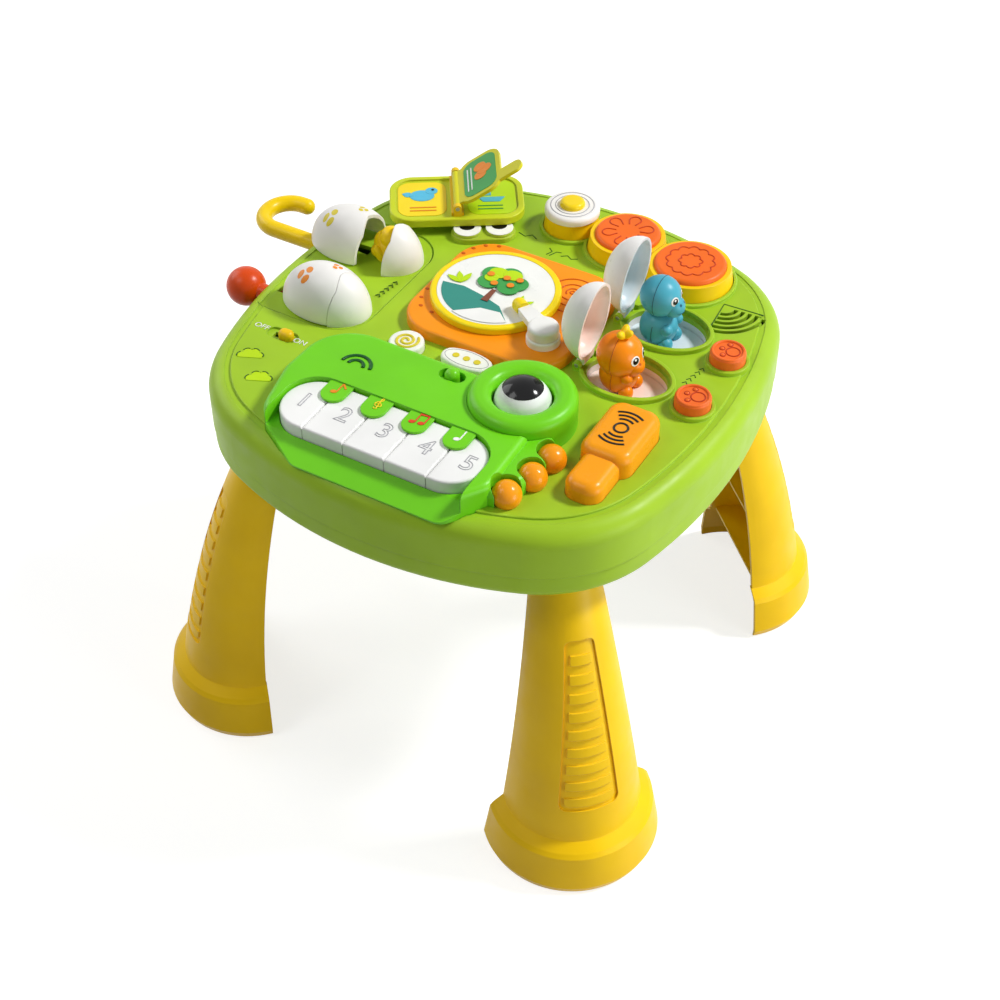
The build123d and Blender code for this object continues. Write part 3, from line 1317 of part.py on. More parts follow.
save("turntable_label", turntable_label())
save("tone_arm_base", arm_base())
save("tone_arm", tone_arm())
save("tone_arm_tip", tone_arm_tip())
save("egg_front_shell", egg_shell(0))
save("egg_rear_shell", egg_shell(1))
save("egg_end_shells", egg_end_shells())
save("egg_front_knob", egg_knob())
save("egg_rear_hook", egg_hook())
save("egg_babies", egg_babies())
save("pins_and_screws", [key_pin(0), book_pin(), *popup_pins(), *case_screws()])
save("popup_wells", [Pos(POPUP_X, y) * popup_well() for y in POPUP_Y])
for number, place in enumerate(("front", "rear")):
    save(f"popup_lid_{place}", popup_lid(POPUP_Y[number]))
    save(f"popup_floor_{place}", Pos(POPUP_X, POPUP_Y[number]) * popup_floor())
    save(f"popup_dino_{place}", popup_dino(number))
save("book_base", book_base())
save("book_spine", book_spine())
save("book_page", book_page())
save("frog_eyes", frog_eyes())
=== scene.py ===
"""Looks of the children's activity table: its plastics, prints and small raised details, and the studio."""

import json
from math import cos, pi, radians, sin, sqrt

import bmesh
import bpy
from mathutils import Matrix, Vector
from mathutils.bvhtree import BVHTree


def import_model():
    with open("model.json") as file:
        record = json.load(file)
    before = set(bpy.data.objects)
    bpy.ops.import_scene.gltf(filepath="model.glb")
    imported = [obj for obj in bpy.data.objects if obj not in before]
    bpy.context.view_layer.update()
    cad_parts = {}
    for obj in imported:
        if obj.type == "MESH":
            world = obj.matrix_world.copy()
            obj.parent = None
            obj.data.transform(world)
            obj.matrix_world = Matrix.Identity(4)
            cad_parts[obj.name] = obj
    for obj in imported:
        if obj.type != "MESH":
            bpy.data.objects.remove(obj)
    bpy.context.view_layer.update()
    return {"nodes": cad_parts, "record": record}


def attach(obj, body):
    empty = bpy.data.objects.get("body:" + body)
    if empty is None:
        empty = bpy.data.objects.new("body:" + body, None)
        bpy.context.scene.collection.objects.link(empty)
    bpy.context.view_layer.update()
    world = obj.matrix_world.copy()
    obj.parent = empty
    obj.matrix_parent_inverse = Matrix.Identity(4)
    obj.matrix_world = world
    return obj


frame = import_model()

# The table's frame: millimetres from its axis and from the top of its deck
AXIS_X = 19.5
DECK = 285.0
TO_ROW = Matrix.Scale(0.001, 4) @ Matrix.Translation((AXIS_X, 0.0, DECK))

# Thickness of prints and the step between prints that overlap
PRINT = 0.25
LAYER = 0.03

# Radii of drawn and engraved lines
LINE = 0.5
FINE_LINE = 0.25
SEAM_LINE = 0.28
SMILE_LINE = 0.35
DECK_LINE = 0.4
CLEF_LINE = 0.45
PLINTH_LINE = 0.6
WAVE_LINE = 0.75
SPIRAL_LINE = 1.0
PAW_RIM_LINE = 1.1
HEAD_ARC_LINE = 1.2

# How the plastics look: sizes of their clouds, gloss patches and grain, rubbed edges and shine
CLOUD_SCALE = 22
GLOSS_SCALE = 70
GRAIN_SCALE = 1400
GRAIN_DEPTH = 0.0004
EDGE_RADIUS = 0.0007
SHINE = 0.25

# Places and heights that the details share with the solids
KEY_MIDDLES = (-64.5, -34.5, -4.5, 25.5, 55.5)
KEY_TOP = 14.0
DIGIT_Y = -133.5
DIGIT_SIZE = 19.0
DIGIT_LINE = 0.36
TAB_MIDDLES = (-50.0, -20.0, 10.0, 40.0)
TAB_Y = -115.0
TAB_TOP = 16.0
HEAD_TOP = 17.0
HEAD_ARCS = (-53.5, -91.5)
HEAD_ARC_RADII = (10.3, 5.4)
EYE = Vector((56.0, -67.0, 13.0))
EYE_R = 18.8
IRIS_ANGLE = 44.0
SNAIL = (-47.0, -41.0)
BUBBLE = (-2.5, -38.0)
SMALL_BUTTON_TOP = 6.0
HAMMER = (122.0, -61.0)
HAMMER_TOP = 17.0
PAWS = {"front": (144.0, -3.0), "rear": (144.0, 50.0)}
PAW_TOP = 10.0
PAW_R = 12.0
EGG_DRUM = (-18.5, 137.0)
EGG_WHITE_TOP = 19.0
MIDDLE_DRUM = (28.8, 131.7)
RIGHT_DRUM = (82.5, 120.9)
PAD_TOP = 16.0
PLINTH_TOP = 8.0
PLINTH_DIMPLES = ((-63.5, 12.3), (-62.0, 2.3), (-57.4, -5.9), (-47.1, -8.7),
                  (-63.5, 60.4), (-60.5, 69.0), (-54.5, 76.0), (-46.0, 80.0))
PLINTH_ARCS = (24.6, 57.7)
PLATTER = (-19.5, 29.5)
LABEL_TOP = 13.1
BABY_X = -113.0
BABY_Y = (-27.0, 40.0)
BABY_BODY_UP = 6.7
BABY_HEAD = Vector((3.0, 0.0, 17.7))
BABY_HEAD_R = 8.0
DINO_X = 88.0
DINO_Y = {"front": 3.5, "rear": 62.0}
DINO_BODY_UP = 2.0
DINO_BODY_R = 13.0
DINO_HEAD_UP = {"front": 17.7, "rear": 26.5}
DINO_HEAD_R = {"front": 15.3, "rear": 14.0}
DINO_SNOUT = Vector((9.5, 0.0, -5.0))
DINO_SNOUT_R = 8.0
BOOK = (-100.0, 112.0)
BOOK_TURN = 33.0
BOOK_LEAF = 11.8
PIN_TOP = 19.0
PAGE_OPEN = 33.0
PAGE_TOP = 1.2
FROG_EYES = Vector((18.0, -30.0))
FROG_EYE_SIDE = 11.5
FROG_EYE_TOP = 6.0
GRILLE = (117.0, 105.0)
SWITCH = (-126.0, -71.0)
SWITCH_WORD_SIZE = 6.5
BUSHES = {"far": (-131.0, -102.0), "near": (-112.0, -119.0)}
BUSH_WIDTH = 16.0
BUSH_HEIGHT = 10.0
BUSH_TURN = 24.0
BUMP_R = 3.0
CHEVRONS = {"left": (-93.3, 7.6, 82.0), "right": (131.0, 26.8, 78.0)}
CHEVRON_STEP = 4.6
CHEVRON_WIDE = 1.8
CHEVRON_HIGH = 1.2

# Studio in metres: lamps as place, size and power, what they aim at, and the camera
LAMPS = {
    "key_lamp": ((1.9, 1.5, 2.8), 0.6, 105.0),
    "fill_lamp": ((-1.6, 0.1, 1.1), 1.0, 9.0),
    "front_lamp": ((-0.9, -1.0, 2.0), 0.8, 9.0),
    "side_lamp": ((1.8, -0.2, 0.4), 0.8, 11.0),
}
LAMP_AIM = (0.0, 0.0, 0.25)
WORLD_LIGHT = 0.15
FLOOR_HALF = 6.0
FLOOR_GREY = 0.5
FLOOR_GLOW = 0.75
CAMERA_PLACE = Vector((0.4953, -0.8236, 1.0222))
CAMERA_AIM = Vector((0.0201, 0.00035, 0.1354))
CAMERA_LENS = 64.58
CAMERA_SENSOR = 36.0


# Materials


def tone(red, green, blue):
    """Linear colour from the 0 to 255 values that a screen shows."""
    values = []
    for part in (red, green, blue):
        share = part / 255
        values.append(share / 12.92 if share <= 0.04045 else ((share + 0.055) / 1.055) ** 2.4)
    return values


def shade(colour, factor):
    return [min(1.0, part * factor) for part in colour] + [1.0]


def noise(tree, place, scale, detail=2.0):
    texture = tree.nodes.new("ShaderNodeTexNoise")
    texture.inputs["Scale"].default_value = scale
    texture.inputs["Detail"].default_value = detail
    tree.links.new(place, texture.inputs["Vector"])
    return texture.outputs["Fac"]


def spread(tree, value, low, high, start=0.3, end=0.7):
    reach = tree.nodes.new("ShaderNodeMapRange")
    reach.inputs["From Min"].default_value = start
    reach.inputs["From Max"].default_value = end
    reach.inputs["To Min"].default_value = low
    reach.inputs["To Max"].default_value = high
    tree.links.new(value, reach.inputs["Value"])
    return reach.outputs["Result"]


def blend(tree, first, colour, factor):
    """A colour laid over another one by a mask."""
    mix = tree.nodes.new("ShaderNodeMix")
    mix.data_type = "RGBA"
    mix.inputs["B"].default_value = shade(colour, 1.0)
    tree.links.new(factor, mix.inputs["Factor"])
    tree.links.new(first, mix.inputs["A"])
    return mix.outputs["Result"]


def edge_mask(tree, smooth_normal, strength):
    """Where the rounded normal leaves the true one, at edges that hands rub."""
    true_normal = tree.nodes.new("ShaderNodeNewGeometry").outputs["Normal"]
    dot = tree.nodes.new("ShaderNodeVectorMath")
    dot.operation = "DOT_PRODUCT"
    tree.links.new(smooth_normal, dot.inputs[0])
    tree.links.new(true_normal, dot.inputs[1])
    return spread(tree, dot.outputs["Value"], strength, 0.0, 0.75, 0.99)


def inner_mask(tree):
    """The hollow side of a lid that stands open, which faces +X."""
    normal = tree.nodes.new("ShaderNodeTexCoord").outputs["Normal"]
    parts = tree.nodes.new("ShaderNodeSeparateXYZ")
    tree.links.new(normal, parts.inputs["Vector"])
    return spread(tree, parts.outputs["X"], 0.0, 1.0, 0.1, 0.4)


def plastic(name, colour, roughness=0.36, vary=0.06, worn=0.25, grain=0.04, metal=0.0, inside=None):
    """Moulded plastic: cloudy colour, uneven gloss, fine grain and paler rubbed edges."""
    material = bpy.data.materials.new(name)
    material.use_nodes = True
    tree = material.node_tree
    shader = tree.nodes["Principled BSDF"]
    place = tree.nodes.new("ShaderNodeTexCoord").outputs["Object"]

    ramp = tree.nodes.new("ShaderNodeValToRGB")
    ramp.color_ramp.elements[0].position = 0.3
    ramp.color_ramp.elements[0].color = shade(colour, 1 - vary)
    ramp.color_ramp.elements[1].position = 0.7
    ramp.color_ramp.elements[1].color = shade(colour, 1 + vary)
    tree.links.new(noise(tree, place, CLOUD_SCALE, 3), ramp.inputs["Fac"])
    base = ramp.outputs["Color"]
    if inside:
        base = blend(tree, base, inside, inner_mask(tree))

    bevel = tree.nodes.new("ShaderNodeBevel")
    bevel.samples = 4
    bevel.inputs["Radius"].default_value = EDGE_RADIUS
    rubbed = [part * 0.75 + 0.25 for part in colour]
    base = blend(tree, base, rubbed, edge_mask(tree, bevel.outputs["Normal"], worn))
    tree.links.new(base, shader.inputs["Base Color"])

    gloss = spread(tree, noise(tree, place, GLOSS_SCALE), roughness - 0.05, roughness + 0.07)
    tree.links.new(gloss, shader.inputs["Roughness"])
    shader.inputs["Metallic"].default_value = metal
    shader.inputs["Specular IOR Level"].default_value = SHINE

    bump = tree.nodes.new("ShaderNodeBump")
    bump.inputs["Strength"].default_value = grain
    bump.inputs["Distance"].default_value = GRAIN_DEPTH
    tree.links.new(noise(tree, place, GRAIN_SCALE, 1), bump.inputs["Height"])
    tree.links.new(bevel.outputs["Normal"], bump.inputs["Normal"])
    tree.links.new(bump.outputs["Normal"], shader.inputs["Normal"])
    return material


# Colours of the solids by their material slot
SLOT_LOOKS = {
    "shell_green": plastic("shell_green", tone(160, 198, 40), 0.42),
    "leg_yellow": plastic("leg_yellow", tone(252, 204, 2), 0.4),
    "head_green": plastic("head_green", tone(112, 206, 24), 0.34),
    "key_white": plastic("key_white", tone(242, 242, 240), 0.34),
    "eye_white": plastic("eye_white", tone(242, 242, 242), 0.16, grain=0.0),
    "toe_orange": plastic("toe_orange", tone(248, 156, 16), 0.2),
    "button_orange": plastic("button_orange", tone(250, 160, 14), 0.3),
    "paw_orange": plastic("paw_orange", tone(244, 112, 40), 0.34),
    "button_white": plastic("button_white", tone(242, 243, 234), 0.34),
    "switch_yellow": plastic("switch_yellow", tone(242, 196, 16), 0.32),
    "cup_yellow": plastic("cup_yellow", tone(250, 206, 6), 0.36),
    "pad_orange": plastic("pad_orange", tone(240, 108, 28), 0.4),
    "egg_white": plastic("egg_white", tone(244, 242, 238), 0.36),
    "egg_yolk": plastic("egg_yolk", tone(246, 214, 24), 0.28),
    "plinth_orange": plastic("plinth_orange", tone(252, 150, 16), 0.36),
    "platter_yellow": plastic("platter_yellow", tone(250, 222, 14), 0.32),
    "label_white": plastic("label_white", tone(244, 245, 240), 0.3),
    "arm_white": plastic("arm_white", tone(238, 238, 234), 0.34),
    "shell_white": plastic("shell_white", tone(242, 240, 236), 0.32),
    "knob_red": plastic("knob_red", tone(218, 72, 6), 0.3),
    "hook_yellow": plastic("hook_yellow", tone(248, 210, 4), 0.32),
    "baby_yellow": plastic("baby_yellow", tone(248, 208, 14), 0.34),
    "lid_white": plastic("lid_white", tone(242, 240, 237), 0.3),
    "tray_white": plastic("tray_white", tone(238, 232, 226), 0.36),
    "dino_orange": plastic("dino_orange", tone(252, 142, 8), 0.3),
    "dino_blue": plastic("dino_blue", tone(78, 172, 194), 0.32),
    "book_lime": plastic("book_lime", tone(200, 212, 36), 0.38),
    "spine_yellow": plastic("spine_yellow", tone(242, 202, 18), 0.34),
    "page_green": plastic("page_green", tone(212, 208, 26), 0.36),
    "frog_lime": plastic("frog_lime", tone(170, 194, 52), 0.38),
    "steel": plastic("steel", tone(176, 178, 182), 0.32, metal=1.0),
    "door_green": plastic("door_green", tone(150, 180, 30), 0.44),
    "cell_metal": plastic("cell_metal", tone(150, 132, 92), 0.34, metal=0.8),
    "board_green": plastic("board_green", tone(34, 92, 50), 0.42),
    "black_plastic": plastic("black_plastic", tone(34, 34, 36), 0.45),
}

# Solids whose look differs from that of their slot
NODE_LOOKS = {
    "popup_lid_front": plastic("lid_blush", tone(242, 240, 237), 0.3, inside=tone(246, 224, 214)),
    "popup_lid_rear": plastic("lid_ice", tone(242, 240, 237), 0.3, inside=tone(214, 226, 232)),
    "popup_floor_front": plastic("floor_blush", tone(246, 230, 220), 0.36),
    "popup_floor_rear": plastic("floor_ice", tone(224, 234, 240), 0.36),
    "popup_wells": plastic("well_white", tone(238, 234, 230), 0.36),
}

# Print colours, and the grey and dark colours of engraved lines, dimples and the edges of moulded reliefs,
# which paint the shade that falls in them
BLACK = plastic("print_black", tone(24, 26, 26), 0.3, worn=0.0)
IRIS = plastic("iris_black", tone(12, 12, 14), 0.1, worn=0.0, grain=0.0)
WHITE = plastic("print_white", tone(246, 246, 242), 0.34, worn=0.0)
# A grey that paints the shade on the edges of the moulded key numerals, in the rings on the egg white and
# round the bubble
SHADE_GREY = plastic("painted_shade_grey", tone(180, 180, 184), 0.4, worn=0.0)
RED = plastic("print_red", tone(226, 74, 40), 0.36, worn=0.0)
ORANGE = plastic("print_orange", tone(240, 142, 36), 0.36, worn=0.0)
YELLOW = plastic("print_yellow", tone(246, 218, 36), 0.36, worn=0.0)
OLIVE = plastic("print_olive", tone(222, 204, 50), 0.36, worn=0.0)
LIME = plastic("print_lime", tone(190, 226, 16), 0.36, worn=0.0)
GREEN = plastic("print_green", tone(62, 160, 76), 0.36, worn=0.0)
TEAL = plastic("print_teal", tone(52, 142, 128), 0.36, worn=0.0)
BLUE = plastic("print_blue", tone(88, 186, 220), 0.36, worn=0.0)
BROWN = plastic("print_brown", tone(128, 72, 52), 0.4, worn=0.0)
# Darker copies of the plastics' own colours, which paint the shade in engraved lines and dimples
GROOVE_SHADE_GREEN = plastic("groove_shade_green", tone(48, 92, 18), 0.5, worn=0.0)
GROOVE_SHADE_HEAD = plastic("groove_shade_head", tone(14, 84, 26), 0.45, worn=0.0)
GROOVE_SHADE_ORANGE = plastic("groove_shade_orange", tone(210, 96, 10), 0.45, worn=0.0)
GROOVE_SHADE_PAD = plastic("groove_shade_pad", tone(196, 62, 18), 0.45, worn=0.0)
GROOVE_SHADE_BLUE = plastic("groove_shade_blue", tone(34, 96, 116), 0.45, worn=0.0)
GROOVE_SHADE_AMBER = plastic("groove_shade_amber", tone(196, 96, 14), 0.45, worn=0.0)


def paint_solids():
    for part in frame["record"]["subparts"]:
        solid = frame["nodes"][part["node"]]
        look = NODE_LOOKS.get(part["node"], SLOT_LOOKS[part["material_slot"]])
        if solid.data.materials:
            solid.data.materials[0] = look
        else:
            solid.data.materials.append(look)


# Making pieces


def piece(name, mesh, material, body):
    """A new object that rides on a body."""
    thing = bpy.data.objects.new(name, mesh)
    thing.data.materials.append(material)
    bpy.context.scene.collection.objects.link(thing)
    bpy.context.view_layer.update()
    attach(thing, body)
    return thing


def plate(name, outlines, low, high, material, body, where=None):
    """Flat shapes, each a hair thicker than the one before so that they can overlap."""
    to_row = TO_ROW @ (where or Matrix.Identity(4))
    shapes = bmesh.new()
    for number, outline in enumerate(outlines):
        corners = [shapes.verts.new((x, y, low)) for x, y in outline]
        base = shapes.faces.new(corners)
        raised = bmesh.ops.extrude_face_region(shapes, geom=[base])
        tops = [item for item in raised["geom"] if isinstance(item, bmesh.types.BMVert)]
        bmesh.ops.translate(shapes, vec=(0.0, 0.0, high - low + LAYER * number), verts=tops)
    bmesh.ops.recalc_face_normals(shapes, faces=shapes.faces)
    bmesh.ops.triangulate(shapes, faces=[face for face in shapes.faces if len(face.verts) > 4])
    bmesh.ops.transform(shapes, matrix=to_row, verts=shapes.verts)
    mesh = bpy.data.meshes.new(name)
    shapes.to_mesh(mesh)
    shapes.free()
    return piece(name, mesh, material, body)


def tubes(name, paths, radius, material, body, where=None, closed=False):
    """Round lines along paths of (x, y, z) points."""
    to_row = TO_ROW @ (where or Matrix.Identity(4))
    curve = bpy.data.curves.new(name, "CURVE")
    curve.dimensions = "3D"
    curve.bevel_depth = radius * 0.001
    curve.bevel_resolution = 2
    curve.use_fill_caps = True
    for path in paths:
        spline = curve.splines.new("POLY")
        spline.points.add(len(path) - 1)
        spline.use_cyclic_u = closed
        for point, spot in zip(spline.points, path):
            point.co = (*(to_row @ Vector(spot)), 1.0)
    return piece(name, curve, material, body)


def cap_points(centre, radius, direction, half_angle, rings=10, sides=40):
    """Points and faces of the part of a sphere within half_angle degrees of a direction."""
    turn = Vector((0.0, 0.0, 1.0)).rotation_difference(Vector(direction)).to_matrix()
    points = [centre + turn @ Vector((0.0, 0.0, radius))]
    faces = []
    for ring in range(1, rings + 1):
        tilt = radians(half_angle) * ring / rings
        for side in range(sides):
            round_by = 2 * pi * side / sides
            offset = Vector((sin(tilt) * cos(round_by), sin(tilt) * sin(round_by), cos(tilt)))
            points.append(centre + turn @ (offset * radius))
    for side in range(sides):
        after = (side + 1) % sides
        faces.append((0, 1 + side, 1 + after))
        for ring in range(rings - 1):
            here, there = 1 + ring * sides, 1 + (ring + 1) * sides
            faces.append((here + side, there + side, there + after, here + after))
    return points, faces


def blob(centre, size, direction):
    """A long rounded lump, of length and thickness, that points in a direction."""
    points, faces = cap_points(Vector(), 0.5, (0.0, 0.0, 1.0), 180, 12, 20)
    turn = Vector((0.0, 0.0, 1.0)).rotation_difference(Vector(direction)).to_matrix()
    long, thick = size
    moved = [Vector(centre) + turn @ Vector((p.x * thick, p.y * thick, p.z * long)) for p in points]
    return moved, faces


def shell_piece(name, groups, material, body, where=None):
    """A smooth mesh from groups of (points, faces)."""
    to_row = TO_ROW @ (where or Matrix.Identity(4))
    points, faces = [], []
    for group_points, group_faces in groups:
        start = len(points)
        points += [to_row @ point for point in group_points]
        faces += [tuple(start + corner for corner in face) for face in group_faces]
    mesh = bpy.data.meshes.new(name)
    mesh.from_pydata(points, [], faces)
    mesh.polygons.foreach_set("use_smooth", [True] * len(mesh.polygons))
    mesh.update()
    return piece(name, mesh, material, body)


def caps(name, spots, material, body, where=None):
    """Round spots on spheres, each (centre, radius, direction, half angle), such as printed eyes and dark
    nostrils of painted shade.
    """
    return shell_piece(name, [cap_points(*spot) for spot in spots], material, body, where)


def drape(name, node, outlines, material, body, lift=0.12, rings=5):
    """Printed shapes that follow the upper side of a solid."""
    solid = frame["nodes"][node]
    surface = BVHTree.FromObject(solid, bpy.context.evaluated_depsgraph_get())
    to_solid = solid.matrix_world.inverted() @ TO_ROW
    groups = []
    for outline in outlines:
        middle = sum((Vector(spot) for spot in outline), Vector((0.0, 0.0))) / len(outline)
        points, faces = [], []
        for ring in range(rings + 1):
            for spot in outline:
                x, y = middle.lerp(Vector(spot), ring / rings)
                hit = surface.ray_cast(to_solid @ Vector((x, y, 100.0)), Vector((0.0, 0.0, -1.0)))[0]
                points.append(to_solid.inverted() @ hit + Vector((0.0, 0.0, lift)))
        count = len(outline)
        for ring in range(rings):
            here, there = ring * count, (ring + 1) * count
            for side in range(count):
                after = (side + 1) % count
                faces.append((here + side, there + side, there + after, here + after))
        groups.append((points, faces))
    return shell_piece(name, groups, material, body)


def lettering(name, words, size, spot, material, body, outline=0.0):
    """Raised print, or lines of some radius round the letters' outlines."""
    text = bpy.data.curves.new(name, "FONT")
    text.body = words
    text.size = size * 0.001
    if outline:
        text.fill_mode = "NONE"
        text.bevel_depth = outline * 0.001
    else:
        text.extrude = PRINT * 0.001
    text.align_x = "CENTER"
    text.align_y = "CENTER"
    thing = bpy.data.objects.new(name, text)
    thing.data.materials.append(material)
    thing.location = TO_ROW @ Vector(spot)
    bpy.context.scene.collection.objects.link(thing)
    bpy.context.view_layer.update()
    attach(thing, body)
    return thing


# Outlines


def turned(x, y, along, across, turn):
    """The point that lies along and across from (x, y) in directions turned by some degrees."""
    angle = radians(turn)
    return (x + along * cos(angle) - across * sin(angle), y + along * sin(angle) + across * cos(angle))


def oval(x, y, long_r, short_r, turn=0.0, sides=28):
    angles = [2 * pi * side / sides for side in range(sides)]
    return [turned(x, y, long_r * cos(angle), short_r * sin(angle), turn) for angle in angles]


def bar(x0, y0, x1, y1, width):
    """A thin straight stroke."""
    length = sqrt((x1 - x0) ** 2 + (y1 - y0) ** 2)
    side_x, side_y = -(y1 - y0) / length * width / 2, (x1 - x0) / length * width / 2
    return [(x0 + side_x, y0 + side_y), (x0 - side_x, y0 - side_y),
            (x1 - side_x, y1 - side_y), (x1 + side_x, y1 + side_y)]


def arc(x, y, z, radius, start, end, steps=20):
    points = []
    for step in range(steps + 1):
        angle = radians(start + (end - start) * step / steps)
        points.append((x + radius * cos(angle), y + radius * sin(angle), z))
    return points


def leaf(x, y, length, width, turn, sides=10):
    points = []
    for side in range(2 * sides):
        share = side / sides if side <= sides else 2 - side / sides
        swing = width / 2 * sin(pi * share) * (1 if side <= sides else -1)
        points.append(turned(x, y, length * share, swing, turn))
    return points


def trefoil(x, y, size, turn):
    """Three round lobes about a middle."""
    lobes = []
    for facing in (turn, turn + 120, turn + 240):
        lobe_x, lobe_y = turned(x, y, 0.56 * size, 0.0, facing)
        lobes.append(oval(lobe_x, lobe_y, 0.46 * size, 0.36 * size, facing + 90))
    return lobes


def rounded_box(x, y, width, depth, corner, steps=6):
    points = []
    for turn, side_x, side_y in ((0, 1, 1), (90, -1, 1), (180, -1, -1), (270, 1, -1)):
        middle_x = x + side_x * (width / 2 - corner)
        middle_y = y + side_y * (depth / 2 - corner)
        for step in range(steps + 1):
            angle = radians(turn + 90 * step / steps)
            points.append((middle_x + corner * cos(angle), middle_y + corner * sin(angle)))
    return points


# Piano head


def key_digits():
    # The grey lines round each numeral paint the shade on the edges of the moulded digit, which is as white
    # as its key
    for number, x in enumerate(KEY_MIDDLES, start=1):
        name, spot = f"key_digit_{number}", (x, DIGIT_Y, KEY_TOP)
        lettering(name, str(number), DIGIT_SIZE, spot, SHADE_GREY, f"key_{number}", DIGIT_LINE)


def note_head(x, y):
    return oval(x, y, 2.2, 1.6, 20)


# A treble clef's line, from its tail up and down round its curl
CLEF = ((-1.6, -4.6), (-0.8, -5.4), (0.4, -5.0), (0.5, -4.0), (0.0, -1.0), (-0.5, 2.2), (-0.6, 3.9),
        (0.1, 5.3), (0.9, 4.6), (0.6, 3.2), (-0.7, 1.9), (-2.1, 0.5), (-2.6, -1.1), (-1.7, -2.6),
        (0.0, -3.1), (1.8, -2.4), (2.1, -0.8), (1.0, 0.3), (-0.5, 0.0), (-0.9, -1.3))


def note_prints():
    first, second, third, fourth = TAB_MIDDLES
    low, high = TAB_TOP, TAB_TOP + PRINT
    eighth = [note_head(first - 1.8, TAB_Y - 4.0),
              bar(first + 0.1, TAB_Y - 4.0, first + 0.1, TAB_Y + 5.5, 0.9),
              bar(first + 0.1, TAB_Y + 5.2, first + 4.0, TAB_Y + 1.4, 1.3)]
    plate("note_eighth", eighth, low, high, ORANGE, "table")
    clef = [(second + x, TAB_Y + y, high) for x, y in CLEF]
    tubes("note_clef", [clef], CLEF_LINE, YELLOW, "table")
    pair = [note_head(third - 3.6, TAB_Y - 4.0), note_head(third + 2.4, TAB_Y - 3.0),
            bar(third - 1.8, TAB_Y - 4.0, third - 1.8, TAB_Y + 4.6, 0.9),
            bar(third + 4.2, TAB_Y - 3.0, third + 4.2, TAB_Y + 5.6, 0.9),
            bar(third - 2.2, TAB_Y + 4.4, third + 4.6, TAB_Y + 5.4, 1.7)]
    plate("note_pair", pair, low, high, RED, "table")
    quarter = [note_head(fourth - 1.0, TAB_Y - 4.5),
               bar(fourth + 0.9, TAB_Y - 4.5, fourth + 0.9, TAB_Y + 4.5, 0.9)]
    plate("note_quarter", quarter, low, high, WHITE, "table")


def head_arcs():
    """A pair of bowed grooves on the head, drawn as dark green lines that paint the shade in them."""
    bows = [arc(*HEAD_ARCS, HEAD_TOP, radius, 5, 175) for radius in HEAD_ARC_RADII]
    tubes("head_arcs", bows, HEAD_ARC_LINE, GROOVE_SHADE_HEAD, "table")


def iris():
    spot = (EYE, EYE_R + 0.12, (0.0, 0.0, 1.0), IRIS_ANGLE)
    caps("eye_iris", [spot], IRIS, "eye_ball")


def snail_spiral():
    path = []
    for step in range(60):
        angle = radians(step * 13)
        radius = 1.0 + 7.4 * step / 59
        path.append((SNAIL[0] + radius * cos(angle), SNAIL[1] + radius * sin(angle), SMALL_BUTTON_TOP))
    tubes("snail_spiral", [path], SPIRAL_LINE, OLIVE, "snail_button")


def bubble_dots():
    dots = [oval(BUBBLE[0] + offset, BUBBLE[1], 2.4, 2.4) for offset in (-8.0, 0.0, 8.0)]
    plate("bubble_dots", dots, SMALL_BUTTON_TOP, SMALL_BUTTON_TOP + PRINT, OLIVE, "bubble_button")
    # The grey ring round the bubble's outline is painted shade
    rim = [(x, y, SMALL_BUTTON_TOP) for x, y in oval(*BUBBLE, 16.0, 7.2)]
    tubes("bubble_line", [rim], FINE_LINE, SHADE_GREY, "bubble_button", closed=True)


# Deck prints


def switch_words():
    off, on = (SWITCH[0] - 17.5, SWITCH[1] + 0.9, 0.0), (SWITCH[0] + 14.5, SWITCH[1] - 0.8, 0.0)
    lettering("switch_off_word", "OFF", SWITCH_WORD_SIZE, off, WHITE, "table")
    lettering("switch_on_word", "ON", SWITCH_WORD_SIZE, on, WHITE, "table")


def bushes():
    """Two leafy prints, each a flat base under a row of round bumps whose tops carry dark green lines of
    painted shade.
    """
    for name, (x, y) in BUSHES.items():
        outline = [turned(x, y, side * BUSH_WIDTH / 2, 0.0, BUSH_TURN) for side in (-1, 1)]
        tops = []
        for middle in (22.5, 67.5, 112.5, 157.5):
            along = 0.4 * BUSH_WIDTH * cos(radians(middle))
            across = 0.7 * BUSH_HEIGHT * sin(radians(middle))
            facing = middle + BUSH_TURN
            bump = arc(*turned(x, y, along, across, BUSH_TURN), PRINT, BUMP_R, facing - 80, facing + 80, 10)
            outline += [(px, py) for px, py, pz in bump]
            tops.append(bump[2:-2])
        plate(f"bush_{name}", [outline], 0.0, PRINT, LIME, "table")
        tubes(f"bush_{name}_line", tops, DECK_LINE, GROOVE_SHADE_GREEN, "table")


